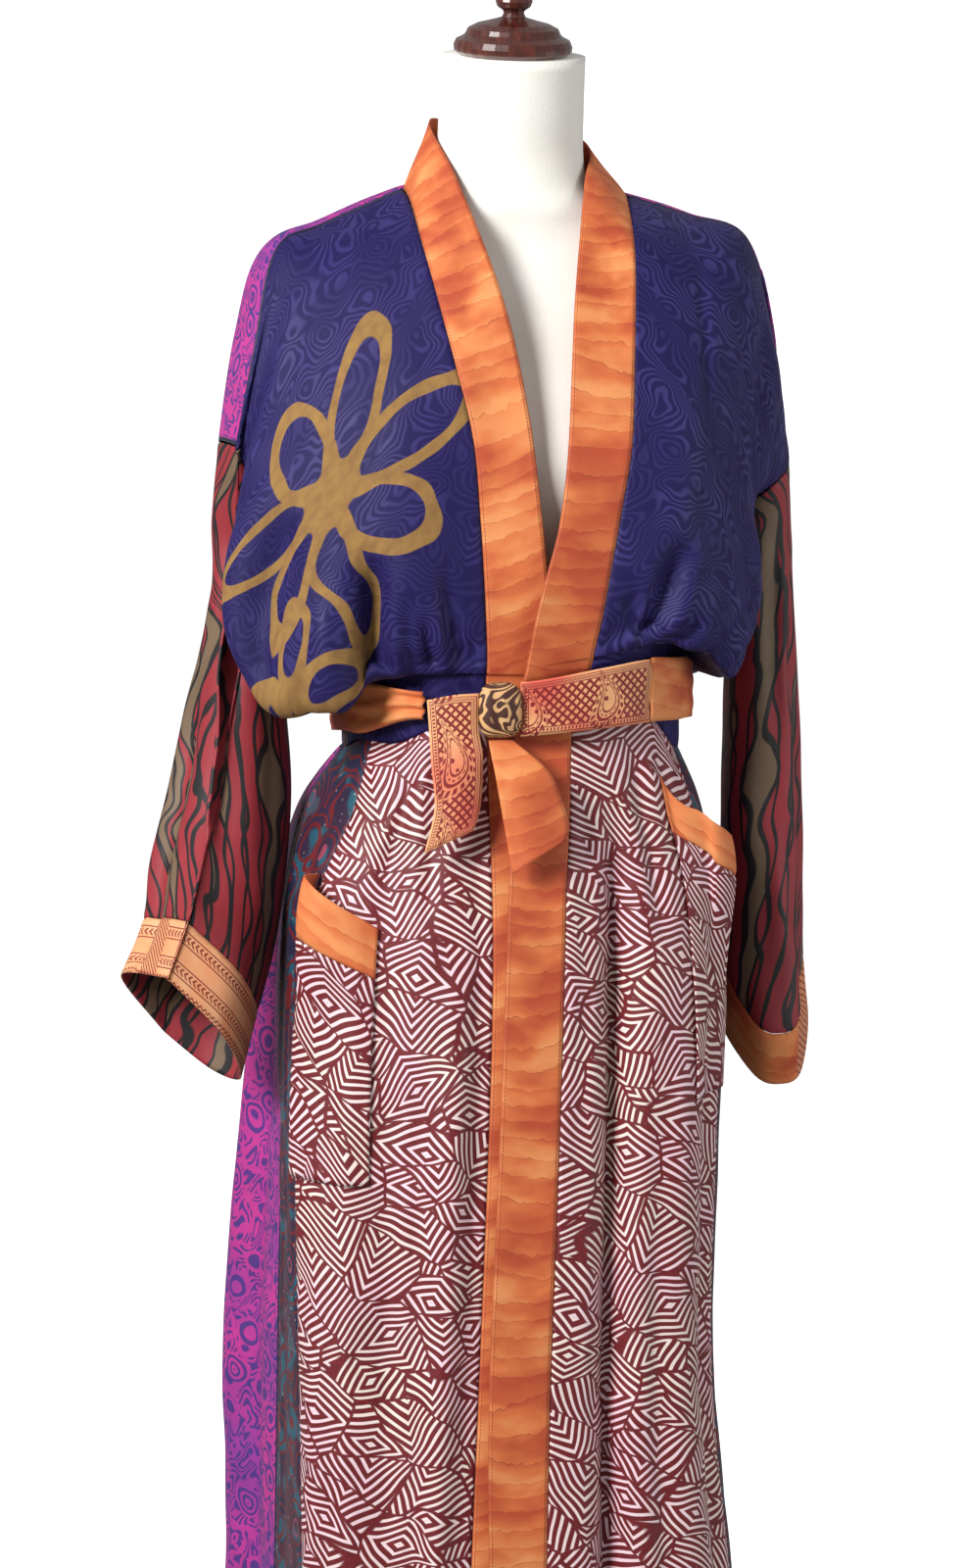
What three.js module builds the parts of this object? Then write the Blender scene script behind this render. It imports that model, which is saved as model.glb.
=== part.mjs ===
import * as THREE from "three";

// A kimono duster with its belt, worn on a limbless dress form with a turned stand.
// Millimetres, +Z up, origin under the base. The front faces -Y. Right and left are the wearer's.

// Driving dimensions
const CLOTH = 1.5;
const SEAM_GAP = 0.6;
const SEAM_BEVEL = 0.6;
const HEM_Z = 158;
const WAIST_Z = 1000;
const NECK_RADIUS = 56.2;
const NECK_TOP_Z = 1535;
const NECK_LEAN = 0.19;
const FORM_BOTTOM_Z = 780;
const CAP_RADIUS = 46;
const POLE_RADIUS = 15;
const BASE_RADIUS = 170;
const BASE_HEIGHT = 28;
const CONTACT = 0.3;

const RIGHT = -1;
const LEFT = 1;

const COLOURS = {
  indigo: 0x2e2a6b,
  magenta: 0xbe3296,
  sleeve: 0x7a2a30,
  peach: 0xf0a05a,
  orange: 0xda783e,
  maroonPrint: 0xa84a58,
  navy: 0x141940,
  coral: 0xee8a58,
  offWhite: 0xfaf8f0,
  wood: 0x50231c,
};

const point = (x, y, z) => new THREE.Vector3(x, y, z);

// Bodice sections from the waist up over the shoulder. x is outward from the middle.
// band is the front edge, chest and crest cross the front, head is the outer fold, seam is the side.
const RIGHT_FRONT = [
  {
    at: "waist", band: [36, -122, 1000], chest: [78, -112, 1000], crest: [112, -78, 1000],
    head: [130, -38, 1000], seam: [133, 2, 1000],
  },
  {
    at: "belt", band: [37, -127, 1062], chest: [80, -117, 1064], crest: [114, -82, 1064],
    head: [132, -40, 1063], seam: [135, 2, 1062],
  },
  {
    at: "curl", band: [37, -131, 1071], chest: [86, -125, 1070], crest: [130, -98, 1062],
    head: [149, -52, 1058], seam: [145, 2, 1055],
  },
  {
    at: "bag bottom", band: [37, -134, 1084], chest: [92, -134, 1076], crest: [160, -117, 1042],
    head: [188, -76, 1034], seam: [148, 3, 1040],
  },
  {
    at: "bag low", band: [38, -137, 1104], chest: [98, -143, 1098], crest: [178, -122, 1070],
    head: [219, -78, 1064], seam: [150, 4, 1070],
  },
  {
    at: "bag wide", band: [40, -140, 1140], chest: [102, -147, 1138], crest: [182, -116, 1122],
    head: [231, -66, 1114], seam: [154, 4, 1120],
  },
  {
    at: "underarm", band: [43, -141, 1185], chest: [106, -143, 1184], crest: [178, -110, 1178],
    head: [224, -62, 1176], seam: [170, 4, 1178],
  },
  {
    at: "chest", band: [48, -139, 1245], chest: [112, -133, 1242], crest: [174, -100, 1232],
    head: [214, -62, 1216], seam: [190, -20, 1194],
  },
  {
    at: "upper chest", band: [60, -126, 1302], chest: [120, -114, 1296], crest: [175, -82, 1284],
    head: [208, -54, 1254], seam: [209, -36, 1221],
  },
  {
    at: "collarbone", band: [77, -72, 1388], chest: [128, -60, 1374], crest: [178, -46, 1352],
    head: [204, -50, 1288], seam: [215, -42, 1233],
  },
  {
    at: "back seam", band: [84, 2, 1434], chest: [146, 0, 1407], crest: [184, -20, 1386],
    head: [203, -44, 1312], seam: [217, -40, 1238],
  },
];

const LEFT_FRONT = [
  {
    at: "waist", band: [29, -127.5, 1000], chest: [74, -115, 1000], crest: [110, -80, 1000],
    head: [129, -38, 1000], seam: [133, 2, 1000],
  },
  {
    at: "belt", band: [43, -134, 1074], chest: [82, -121, 1084], crest: [114, -84, 1086],
    head: [131, -40, 1080], seam: [135, 2, 1072],
  },
  {
    at: "curl", band: [44, -137, 1083], chest: [89, -129, 1090], crest: [124, -98, 1088],
    head: [143, -52, 1076], seam: [142, 2, 1066],
  },
  {
    at: "bag bottom", band: [46, -139, 1094], chest: [95, -138, 1096], crest: [142, -113, 1072],
    head: [162, -70, 1057], seam: [146, 3, 1058],
  },
  {
    at: "bag low", band: [50, -142, 1114], chest: [99, -143, 1112], crest: [152, -118, 1094],
    head: [179, -74, 1086], seam: [149, 4, 1084],
  },
  {
    at: "bag wide", band: [56, -144, 1150], chest: [104, -145, 1150], crest: [158, -112, 1140],
    head: [188, -64, 1128], seam: [153, 4, 1128],
  },
  {
    at: "underarm", band: [63, -144, 1190], chest: [112, -139, 1190], crest: [157, -104, 1188],
    head: [183, -64, 1184], seam: [168, 4, 1176],
  },
  {
    at: "chest", band: [72, -139, 1240], chest: [122, -126, 1238], crest: [162, -92, 1236],
    head: [194, -58, 1214], seam: [188, -20, 1192],
  },
  {
    at: "upper chest", band: [77, -121, 1300], chest: [126, -106, 1298], crest: [168, -76, 1292],
    head: [201, -48, 1254], seam: [208, -26, 1207],
  },
  {
    at: "collarbone", band: [85, -76, 1386], chest: [128, -62, 1378], crest: [176, -44, 1364],
    head: [207, -26, 1304], seam: [222, -10, 1218],
  },
  {
    at: "back seam", band: [93, 3, 1430], chest: [142, 8, 1416], crest: [189, 10, 1399],
    head: [211, 12, 1330], seam: [227, 14, 1222],
  },
];

// Bodice back sections from the neck down to the waist, for the right half.
const BACK_ROWS = [
  {
    at: "shoulder", centre: [0, 84, 1438], nape: [54, 76, 1433], neck: [100, 42, 1424],
    blade: [150, 28, 1406], crest: [194, 22, 1386], head: [213, 16, 1326],
  },
  {
    at: "blades", centre: [0, 102, 1395], nape: [58, 98, 1392], neck: [108, 82, 1384],
    blade: [152, 70, 1374], crest: [192, 58, 1352], head: [212, 52, 1300],
  },
  {
    at: "upper back", centre: [0, 110, 1325], nape: [60, 112, 1322], neck: [116, 106, 1316],
    blade: [160, 95, 1306], crest: [194, 78, 1288], head: [214, 67, 1256],
  },
  {
    at: "back", centre: [0, 110, 1250], nape: [60, 114, 1246], neck: [120, 112, 1240],
    blade: [168, 100, 1232], crest: [202, 82, 1222], head: [217, 63, 1213],
  },
  {
    at: "underarm", centre: [0, 106, 1190], nape: [60, 112, 1186], neck: [122, 114, 1182],
    blade: [172, 105, 1178], crest: [205, 84, 1176], head: [211, 57, 1178],
  },
  {
    at: "bag wide", centre: [0, 104, 1130], nape: [60, 110, 1128], neck: [122, 116, 1122],
    blade: [172, 108, 1116], crest: [206, 86, 1112], head: [210, 55, 1114],
  },
  {
    at: "bag low", centre: [0, 103, 1092], nape: [60, 108, 1090], neck: [120, 113, 1080],
    blade: [166, 106, 1070], crest: [195, 84, 1064], head: [197, 51, 1064],
  },
  {
    at: "bag bottom", centre: [0, 101, 1078], nape: [58, 105, 1076], neck: [112, 107, 1066],
    blade: [149, 98, 1050], crest: [174, 76, 1040], head: [174, 42, 1039],
  },
  {
    at: "curl", centre: [0, 98, 1071], nape: [54, 100, 1070], neck: [96, 93, 1066],
    blade: [124, 76, 1062], crest: [142, 52, 1058], head: [147, 26, 1056],
  },
  {
    at: "belt", centre: [0, 95, 1064], nape: [50, 92, 1064], neck: [86, 80, 1064],
    blade: [112, 62, 1063], crest: [126, 42, 1063], head: [133, 22, 1062],
  },
  {
    at: "waist", centre: [0, 93, 1000], nape: [50, 90, 1000], neck: [85, 78, 1000],
    blade: [110, 60, 1000], crest: [124, 40, 1000], head: [131, 20, 1000],
  },
];

// The back half of each armhole, from the shoulder down, before the shared underarm point.
const ARMHOLE_BACK = {
  right: [[228, 6, 1241], [222, 42, 1233], [207, 42, 1213], [187, 24, 1192]],
  left: [[226, 34, 1223], [217, 46, 1216], [203, 44, 1203], [185, 26, 1187]],
};

// The nape edge of the back, from the middle towards the shoulder.
const NAPE = { centre: [0, 68, 1446], side: [48, 55, 1444] };

// The left bag is smaller: its back is drawn in by this much and lifted to its side seam.
const LEFT_BAG = { drawnIn: 18, lift: 14, from: 110, over: 90 };

// Sleeve rings below the armhole. tiltX and tiltY are the rise of the ring's plane per mm.
const SLEEVES = {
  right: [
    { x: 209, y: 12, z: 1164, halfX: 26, halfY: 24, tiltX: 0.5, tiltY: 0 },
    { x: 209, y: 6, z: 1120, halfX: 29, halfY: 31, tiltX: 0.2, tiltY: 0 },
    { x: 216, y: 2, z: 1050, halfX: 39, halfY: 36, tiltX: 0.1, tiltY: 0 },
    { x: 224, y: -10, z: 965, halfX: 50, halfY: 40, tiltX: 0.2, tiltY: -0.1 },
    { x: 238, y: -32, z: 893, halfX: 52, halfY: 46, tiltX: 0.55, tiltY: -0.3 },
    { x: 250, y: -48, z: 843, halfX: 46, halfY: 50, tiltX: 0.9, tiltY: -0.55 },
  ],
  left: [
    { x: 204, y: 11, z: 1158, halfX: 26, halfY: 25, tiltX: 0.4, tiltY: 0 },
    { x: 206, y: 13, z: 1095, halfX: 28, halfY: 34, tiltX: 0.1, tiltY: 0 },
    { x: 209, y: 16, z: 1010, halfX: 32, halfY: 41, tiltX: 0, tiltY: 0.1 },
    { x: 210, y: 14, z: 930, halfX: 34, halfY: 46, tiltX: 0, tiltY: 0.4 },
    { x: 209, y: 8, z: 868, halfX: 35, halfY: 50, tiltX: -0.05, tiltY: 0.75 },
    { x: 208, y: 0, z: 822, halfX: 35, halfY: 52, tiltX: -0.1, tiltY: 1.0 },
  ],
};

const CUFFS = {
  right: { x: 266, y: -56, z: 797, halfX: 48, halfY: 51, tiltX: 0.95, tiltY: -0.6 },
  left: { x: 210, y: 10, z: 781, halfX: 39, halfY: 54, tiltX: -0.1, tiltY: 1.0 },
};

// Skirt sections from the waist seam to the hem. Each column is [x, y] seen from above.
const SKIRT_ROWS = [
  {
    z: 999.4, bandR: [-36, -122], frontR: [-84, -109], cornerR: [-118, -68], sideR: [-133, 2],
    backR: [-118, 52], napeR: [-60, 88], back: [0, 93], napeL: [60, 88], backL: [118, 52],
    sideL: [133, 2], cornerL: [118, -68], frontL: [76, -113], bandL: [29, -127.5],
  },
  {
    z: 960, bandR: [-36, -138], frontR: [-92, -127], cornerR: [-136, -94], sideR: [-162, -4],
    backR: [-150, 66], napeR: [-80, 110], back: [0, 116], napeL: [80, 110], backL: [144, 64],
    sideL: [150, -2], cornerL: [132, -86], frontL: [84, -130], bandL: [25, -143.5],
  },
  {
    z: 900, bandR: [-35, -148], frontR: [-100, -141], cornerR: [-163, -98], sideR: [-178, 0],
    backR: [-174, 84], napeR: [-96, 132], back: [0, 138], napeL: [94, 132], backL: [162, 80],
    sideL: [160, 0], cornerL: [147, -94], frontL: [92, -143], bandL: [21, -153.5],
  },
  {
    z: 820, bandR: [-36, -156], frontR: [-104, -151], cornerR: [-176, -102], sideR: [-184, 0],
    backR: [-190, 94], napeR: [-104, 146], back: [0, 150], napeL: [100, 146], backL: [170, 90],
    sideL: [163, 0], cornerL: [153, -100], frontL: [96, -152], bandL: [18, -161.5],
  },
  {
    z: 700, bandR: [-41, -166], frontR: [-108, -161], cornerR: [-183, -110], sideR: [-184, 0],
    backR: [-207, 100], napeR: [-110, 158], back: [0, 160], napeL: [104, 158], backL: [180, 98],
    sideL: [162, 0], cornerL: [149, -106], frontL: [94, -162], bandL: [13, -171.5],
  },
  {
    z: 520, bandR: [-50, -178], frontR: [-113, -171], cornerR: [-182, -122], sideR: [-188, 4],
    backR: [-224, 110], napeR: [-116, 172], back: [0, 172], napeL: [110, 172], backL: [186, 106],
    sideL: [162, 2], cornerL: [145, -114], frontL: [93, -172], bandL: [5, -183.5],
  },
  {
    z: 340, bandR: [-58, -186], frontR: [-117, -179], cornerR: [-181, -131], sideR: [-192, 6],
    backR: [-224, 113], napeR: [-120, 181], back: [0, 180], napeL: [116, 181], backL: [192, 110],
    sideL: [169, 4], cornerL: [161, -120], frontL: [100, -180], bandL: [1, -191.5],
  },
  {
    z: HEM_Z, bandR: [-60, -190], frontR: [-120, -183], cornerR: [-183, -135], sideR: [-196, 8],
    backR: [-228, 117], napeR: [-124, 187], back: [0, 186], napeL: [120, 187], backL: [197, 114],
    sideL: [177, 6], cornerL: [172, -127], frontL: [106, -184], bandL: [-1, -195.5],
  },
];
const SKIRT_COLUMNS = Object.keys(SKIRT_ROWS[0]).filter((key) => key !== "z");
const column = (name) => SKIRT_COLUMNS.indexOf(name);

// The free edge of each front band, from the middle of the nape to the hem. x is towards that side.
// Rows 0 to 2 follow the nape, 2 to 12 the front from the shoulder to the waist, 12 to 19 the skirt.
const BAND_RIGHT = [
  [0, 60, 1490], [43, 44, 1490], [62, 10, 1484], [47, -42, 1440], [22, -108, 1352], [6, -136, 1266],
  [-3, -145, 1188], [-8, -144, 1140], [-10, -140, 1104], [-11, -137, 1084], [-11, -134, 1071],
  [-12, -130, 1062], [-12, -125, 1029.7], [-12, -141, 960], [-13, -151, 900], [-12, -159, 820],
  [-7, -169, 700], [2, -181, 520], [10, -189, 340], [12, -193, HEM_Z],
];
const BAND_LEFT = [
  [0, 60, 1490], [44, 42, 1484], [64, 8, 1466], [52, -38, 1436], [33, -108, 1342], [23, -142, 1240],
  [15, -151, 1183], [4, -152, 1140], [-3, -149, 1108], [-6, -146, 1090], [-8, -144, 1078],
  [-10, -142, 1068], [-18, -133, 1035.7], [-21, -148.5, 960], [-24, -158.5, 900], [-28, -166.5, 820],
  [-34, -176.5, 700], [-43, -188.5, 520], [-44, -196.5, 340], [-46, -200.5, HEM_Z],
];
const BAND_NAPE = 2;
const BAND_WAIST = 12;

// Plan of the waist under the belt, outside the bodice, from the knot round the right side.
const BELT_PLAN = [
  [-84, -125], [-120, -90], [-139, -44], [-142, 2], [-139, 25], [-131, 46], [-117, 67], [-90, 87],
  [-52, 100], [0, 103], [52, 100], [90, 87], [117, 67], [131, 46], [139, 25], [142, 2], [139, -44],
  [121, -90], [90.8, -123.2],
];

// Heights of the belt's edges along that plan, as fractions of its length.
const BELT_EDGES = [
  { along: 0, low: 1036, high: 1057 },
  { along: 0.08, low: 1020, high: 1062 },
  { along: 0.2, low: 1012, high: 1058 },
  { along: 0.5, low: 1014, high: 1058 },
  { along: 0.72, low: 1018, high: 1058 },
  { along: 0.833, low: 1022, high: 1062 },
  { along: 0.889, low: 1026, high: 1069 },
  { along: 0.944, low: 1029, high: 1077 },
  { along: 1, low: 1031, high: 1080 },
];

// Folds that a panel carries, as lines in its own columns and rows. depth is outward, minus is a valley.
const FRONT_RIGHT_FOLDS = [
  { from: [2.6, 3.4], to: [2.1, 6.4], width: 20, depth: -15, ends: 0.3 },
  { from: [1.4, 2.1], to: [1.28, 5.9], width: 12, depth: -18, ends: 0.3 },
  { from: [0.75, 2.2], to: [0.8, 4.6], width: 8, depth: -4, ends: 0.3 },
  { from: [1.78, 2.2], to: [1.66, 5.4], width: 12, depth: 8, ends: 0.3 },
];

const FRONT_LEFT_FOLDS = [
  { from: [2.75, 5.6], to: [2.55, 9.4], width: 11, depth: -8, ends: 0.35 },
  { from: [1.6, 2.3], to: [2.4, 5.4], width: 15, depth: -10, ends: 0.3 },
  { from: [0.65, 2.4], to: [1.15, 5.7], width: 12, depth: -14, ends: 0.3 },
];

const BACK_FOLDS = [
  { from: [2.4, 6.4], to: [2.8, 9.0], width: 14, depth: -7, ends: 0.3 },
  { from: [4.4, 6.0], to: [4.7, 9.2], width: 12, depth: -6, ends: 0.3 },
  { from: [7.4, 6.2], to: [7.1, 9.2], width: 13, depth: -7, ends: 0.3 },
  { from: [9.6, 5.8], to: [9.2, 9.0], width: 14, depth: -6, ends: 0.3 },
];

const SKIRT_FOLDS = [
  { from: [0.38, 2.2], to: [0.5, 7], width: 13, depth: 9, ends: 0.35, open: true },
  { from: [1.25, 0.6], to: [1.0, 7], width: 15, depth: -7, ends: 0.3, open: true },
  { from: [1.62, 3.6], to: [1.85, 7], width: 14, depth: 8, ends: 0.4, open: true },
  { from: [11.42, 0.4], to: [11.5, 7], width: 14, depth: -18, ends: 0.35, open: true },
  { from: [10.75, 2.4], to: [10.65, 7], width: 18, depth: 7, ends: 0.4, open: true },
  { from: [3.5, 1.0], to: [3.45, 7], width: 20, depth: -13, ends: 0.35, open: true },
  { from: [4.6, 0.8], to: [4.7, 7], width: 22, depth: -14, ends: 0.35, open: true },
  { from: [5.5, 0.8], to: [5.4, 7], width: 22, depth: -12, ends: 0.35, open: true },
  { from: [6.6, 0.8], to: [6.5, 7], width: 22, depth: -14, ends: 0.35, open: true },
  { from: [7.6, 0.8], to: [7.7, 7], width: 22, depth: -13, ends: 0.35, open: true },
  { from: [8.5, 1.2], to: [8.5, 7], width: 18, depth: -10, ends: 0.35, open: true },
];

const SLEEVE_FOLDS = {
  right: [
    { from: [4.7, 2.6], to: [4.7, 6.6], width: 11, depth: -11, ends: 0.3, open: true },
    { from: [2.2, 1.6], to: [3.2, 4.0], width: 13, depth: -5, ends: 0.35 },
    { from: [0.9, 2.0], to: [1.0, 5.0], width: 14, depth: -5, ends: 0.35 },
  ],
  left: [
    { from: [3.3, 1.8], to: [3.5, 6.0], width: 12, depth: -7, ends: 0.35, open: true },
    { from: [1.6, 1.0], to: [2.2, 3.4], width: 12, depth: -5, ends: 0.35 },
  ],
};

// Curves and surfaces

function weights(t) {
  return [
    (-t + 2 * t * t - t * t * t) / 2,
    (2 - 5 * t * t + 3 * t * t * t) / 2,
    (t + 4 * t * t - 3 * t * t * t) / 2,
    (t * t * t - t * t) / 2,
  ];
}

function pick(points, index, closed) {
  const last = points.length - 1;
  if (closed) return points[(index + points.length) % points.length];
  if (index < 0) return points[0].clone().multiplyScalar(2).sub(points[1]);
  if (index > last) return points[last].clone().multiplyScalar(2).sub(points[last - 1]);
  return points[index];
}

// A smooth curve through points, at a position counted in points.
function along(points, position, closed = false) {
  const limit = closed ? points.length - 1 : points.length - 2;
  const start = Math.min(Math.max(Math.floor(position), 0), limit);
  const out = point(0, 0, 0);
  weights(position - start).forEach((w, k) => out.addScaledVector(pick(points, start - 1 + k, closed), w));
  return out;
}

// A smooth surface through rows of points: u counts columns and v counts rows.
function loft(rows, closed = false) {
  return (u, v) => {
    const start = Math.min(Math.max(Math.floor(v), 0), rows.length - 2);
    const low = Math.max(start - 1, 0);
    const near = rows.slice(low, start + 3).map((row) => along(row, u, closed));
    return along(near, v - low);
  };
}

const STEP = 0.02;

function slopes(surface, u, v) {
  const across = surface(u + STEP, v).sub(surface(u - STEP, v));
  const down = surface(u, v + STEP).sub(surface(u, v - STEP));
  return across.cross(down).normalize();
}

// +1 where the slopes of a surface point away from the middle of the body or of its own tube, else -1.
function facing(surface, lastU, lastV, closed = false) {
  let sum = 0;
  for (let v = 0.5; v < lastV; v += 1) {
    const ring = [];
    for (let u = 0.25; u < lastU; u += 0.5) ring.push([u, surface(u, v)]);
    const middle = point(0, 0, 0);
    ring.forEach(([, p]) => middle.addScaledVector(p, 1 / ring.length));
    ring.forEach(([u, p]) => {
      const centre = closed ? middle : point(0, 0, p.z);
      sum += slopes(surface, u, v).dot(p.clone().sub(centre).normalize());
    });
  }
  return Math.sign(sum);
}

const smooth = (t) => {
  const s = Math.min(Math.max(t, 0), 1);
  return s * s * (3 - 2 * s);
};

const FOLD_SAMPLES = 14;

// The surface with its folds pressed in or drawn out, side being the way its slopes face.
function folded(surface, folds, side) {
  const lines = folds.map((fold) => {
    const line = [];
    for (let k = 0; k <= FOLD_SAMPLES; k += 1) {
      const t = k / FOLD_SAMPLES;
      const u = fold.from[0] + (fold.to[0] - fold.from[0]) * t;
      const v = fold.from[1] + (fold.to[1] - fold.from[1]) * t;
      line.push(surface(u, v));
    }
    return line;
  });
  const segment = new THREE.Line3();
  const nearest = point(0, 0, 0);
  return (u, v) => {
    const p = surface(u, v);
    let shift = 0;
    folds.forEach((fold, index) => {
      let best = Infinity;
      let where = 0;
      for (let k = 0; k < FOLD_SAMPLES; k += 1) {
        segment.set(lines[index][k], lines[index][k + 1]);
        const t = segment.closestPointToPointParameter(p, true);
        segment.at(t, nearest);
        const far = nearest.distanceTo(p);
        if (far < best) {
          best = far;
          where = (k + t) / FOLD_SAMPLES;
        }
      }
      const start = smooth(where / fold.ends);
      const end = fold.open ? 1 : smooth((1 - where) / fold.ends);
      shift += fold.depth * start * end * Math.exp(-((best / fold.width) ** 2));
    });
    if (Math.abs(shift) < 0.001) return p;
    return p.addScaledVector(slopes(surface, u, v), shift * side);
  };
}

// Solids

const centroid = (points) => points.reduce((sum, p) => sum.add(p), point(0, 0, 0)).divideScalar(points.length);

function mesh(name, colour, positions, indices, roughness = 0.8) {
  const geometry = new THREE.BufferGeometry();
  geometry.setAttribute("position", new THREE.Float32BufferAttribute(positions, 3));
  geometry.setIndex(indices);
  geometry.computeVertexNormals();
  const material = new THREE.MeshStandardMaterial({ color: colour, roughness, metalness: 0 });
  const made = new THREE.Mesh(geometry, material);
  made.name = name;
  return made;
}

const spread = (from, to, cells) => {
  const width = (to - from) / cells;
  return Array.from({ length: cells + 1 }, (_, k) => from + width * k);
};

// A wall of cloth. surface(u, v) is its outer face, and gaps lists the edges drawn back from a seam:
// a and b are the first and last columns, c and d the first and last rows.
function clothWall(name, colour, surface, { us, vs, wall = CLOTH, gaps = "", closed = false }) {
  const columns = us.length;
  const rows = vs.length;
  const outer = vs.map((v) => us.map((u) => surface(u, v)));
  const raw = vs.map((v) => us.map((u) => slopes(surface, u, v)));
  const middles = outer.map((row) => centroid(row));
  let total = 0;
  outer.forEach((row, j) =>
    row.forEach((p, i) => {
      const middle = closed ? middles[j] : point(0, 0, p.z);
      total += raw[j][i].dot(p.clone().sub(middle).normalize());
    }),
  );
  const side = Math.sign(total);
  const normals = raw.map((row) => row.map((n) => n.multiplyScalar(side)));
  const inside = outer.map((row, j) => row.map((p, i) => p.clone().addScaledVector(normals[j][i], -wall)));
  // A seam edge stops half a gap short, and its inner face a little shorter still.
  const drawBack = (j, i, nextJ, nextI) => {
    const step = outer[nextJ][nextI].clone().sub(outer[j][i]).normalize();
    outer[j][i].addScaledVector(step, SEAM_GAP / 2);
    inside[j][i].addScaledVector(step, SEAM_GAP / 2 + SEAM_BEVEL);
  };
  for (let j = 0; j < rows; j += 1) {
    if (gaps.includes("a")) drawBack(j, 0, j, 1);
    if (gaps.includes("b")) drawBack(j, columns - 1, j, columns - 2);
  }
  for (let i = 0; i < columns; i += 1) {
    if (gaps.includes("c")) drawBack(0, i, 1, i);
    if (gaps.includes("d")) drawBack(rows - 1, i, rows - 2, i);
  }
  const positions = [];
  [outer, inside].forEach((face) => face.flat().forEach((p) => positions.push(p.x, p.y, p.z)));
  const inner = rows * columns;
  const indices = [];
  const quad = (a, b, c, d) => {
    if (side > 0) indices.push(a, b, c, a, c, d);
    else indices.push(a, c, b, a, d, c);
  };
  const spans = closed ? columns : columns - 1;
  for (let j = 0; j < rows - 1; j += 1) {
    for (let i = 0; i < spans; i += 1) {
      const next = (i + 1) % columns;
      const a = j * columns + i;
      const b = j * columns + next;
      const c = (j + 1) * columns + next;
      const d = (j + 1) * columns + i;
      quad(a, b, c, d);
      quad(inner + a, inner + d, inner + c, inner + b);
    }
  }
  for (let i = 0; i < spans; i += 1) {
    const next = (i + 1) % columns;
    const end = (rows - 1) * columns;
    quad(i, inner + i, inner + next, next);
    quad(end + i, end + next, inner + end + next, inner + end + i);
  }
  if (!closed) {
    for (let j = 0; j < rows - 1; j += 1) {
      const a = j * columns;
      const b = (j + 1) * columns;
      const c = a + columns - 1;
      const d = b + columns - 1;
      quad(a, b, inner + b, inner + a);
      quad(c, inner + c, inner + d, d);
    }
  }
  return mesh(name, colour, positions, indices);
}

// Bodice

const outward = (side, [x, y, z]) => point(side * x, y, z);
const FRONT_COLUMNS = ["band", "chest", "crest", "head", "seam"];
const FRONTS = { right: RIGHT_FRONT, left: LEFT_FRONT };
const SIDE_SIGN = { right: RIGHT, left: LEFT };
const SIDE_ROWS = 6;
const BACK_SPAN = ["neck", "blade", "crest", "head"];

// One back point of a half, with the left bag drawn in.
function backPoint(half, row, name) {
  const [x, y, z] = row[name];
  if (half === "right" || z >= 1200) return outward(SIDE_SIGN[half], [x, y, z]);
  const share = smooth((x - LEFT_BAG.from) / LEFT_BAG.over);
  const low = z < 1100 && z > WAIST_Z ? 1 : 0;
  return outward(SIDE_SIGN[half], [x - LEFT_BAG.drawnIn * share, y, z + LEFT_BAG.lift * share * low]);
}

// The side column of the back: the armhole first, and then the front's side seam.
function backSeam(half) {
  const sign = SIDE_SIGN[half];
  const front = FRONTS[half];
  const hole = ARMHOLE_BACK[half].map((p) => outward(sign, p));
  const side = front.slice(0, SIDE_ROWS + 1).reverse();
  const top = outward(sign, front[front.length - 1].seam);
  return [top, ...hole, ...side.map((row) => outward(sign, row.seam))];
}

// Rows of one half of the back from the middle outward, the shoulder seam first.
function backHalf(half) {
  const sign = SIDE_SIGN[half];
  const last = FRONTS[half][FRONTS[half].length - 1];
  const seam = backSeam(half);
  const top = [NAPE.centre, NAPE.side, last.band, last.chest, last.crest, last.head];
  const rows = [[...top.map((p) => outward(sign, p)), seam[0]]];
  BACK_ROWS.forEach((row, index) => {
    const inside = ["centre", "nape", ...BACK_SPAN].map((name) => backPoint(half, row, name));
    rows.push([...inside, seam[index + 1]]);
  });
  return rows;
}

// A front with a spare column past the side seam and a spare row past the shoulder, for its slopes.
function frontSurface(half) {
  const sign = SIDE_SIGN[half];
  const rows = FRONTS[half].map((row) => FRONT_COLUMNS.map((name) => outward(sign, row[name])));
  const back = backHalf(half);
  const beyond = back[1];
  rows.push([beyond[2], beyond[3], beyond[4], beyond[5], beyond[6]]);
  rows.forEach((row, j) => {
    const seam = row[4];
    const mirrored = seam.clone().multiplyScalar(2).sub(row[3]);
    row.push(j < SIDE_ROWS ? back[back.length - 1 - j][5] : mirrored);
  });
  return loft(rows);
}

// The whole back, from the right side across to the left, with spare columns and a spare row.
function backSurface() {
  const right = backHalf("right");
  const left = backHalf("left");
  const rows = right.map((row, j) => [...row.slice(1).reverse(), ...left[j]]);
  const overShoulder = (half) => {
    const row = FRONTS[half][FRONTS[half].length - 2];
    return FRONT_COLUMNS.map((name) => outward(SIDE_SIGN[half], row[name]));
  };
  const top = rows[0];
  const above = [6, 7].map((i) => top[i].clone().multiplyScalar(2).sub(rows[1][i]));
  const aboveRight = top[5].clone().multiplyScalar(2).sub(rows[1][5]);
  const spare = [...overShoulder("right").reverse(), aboveRight, ...above, ...overShoulder("left")];
  const all = [spare, ...rows];
  const count = all.length;
  all.forEach((row, j) => {
    const fromWaist = count - 1 - j;
    const beside = (half, end, next) => {
      if (fromWaist < SIDE_ROWS) return outward(SIDE_SIGN[half], FRONTS[half][fromWaist].head);
      return end.clone().multiplyScalar(2).sub(next);
    };
    const first = beside("right", row[0], row[1]);
    const last = beside("left", row[row.length - 1], row[row.length - 2]);
    row.unshift(first);
    row.push(last);
  });
  return loft(all);
}

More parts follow.
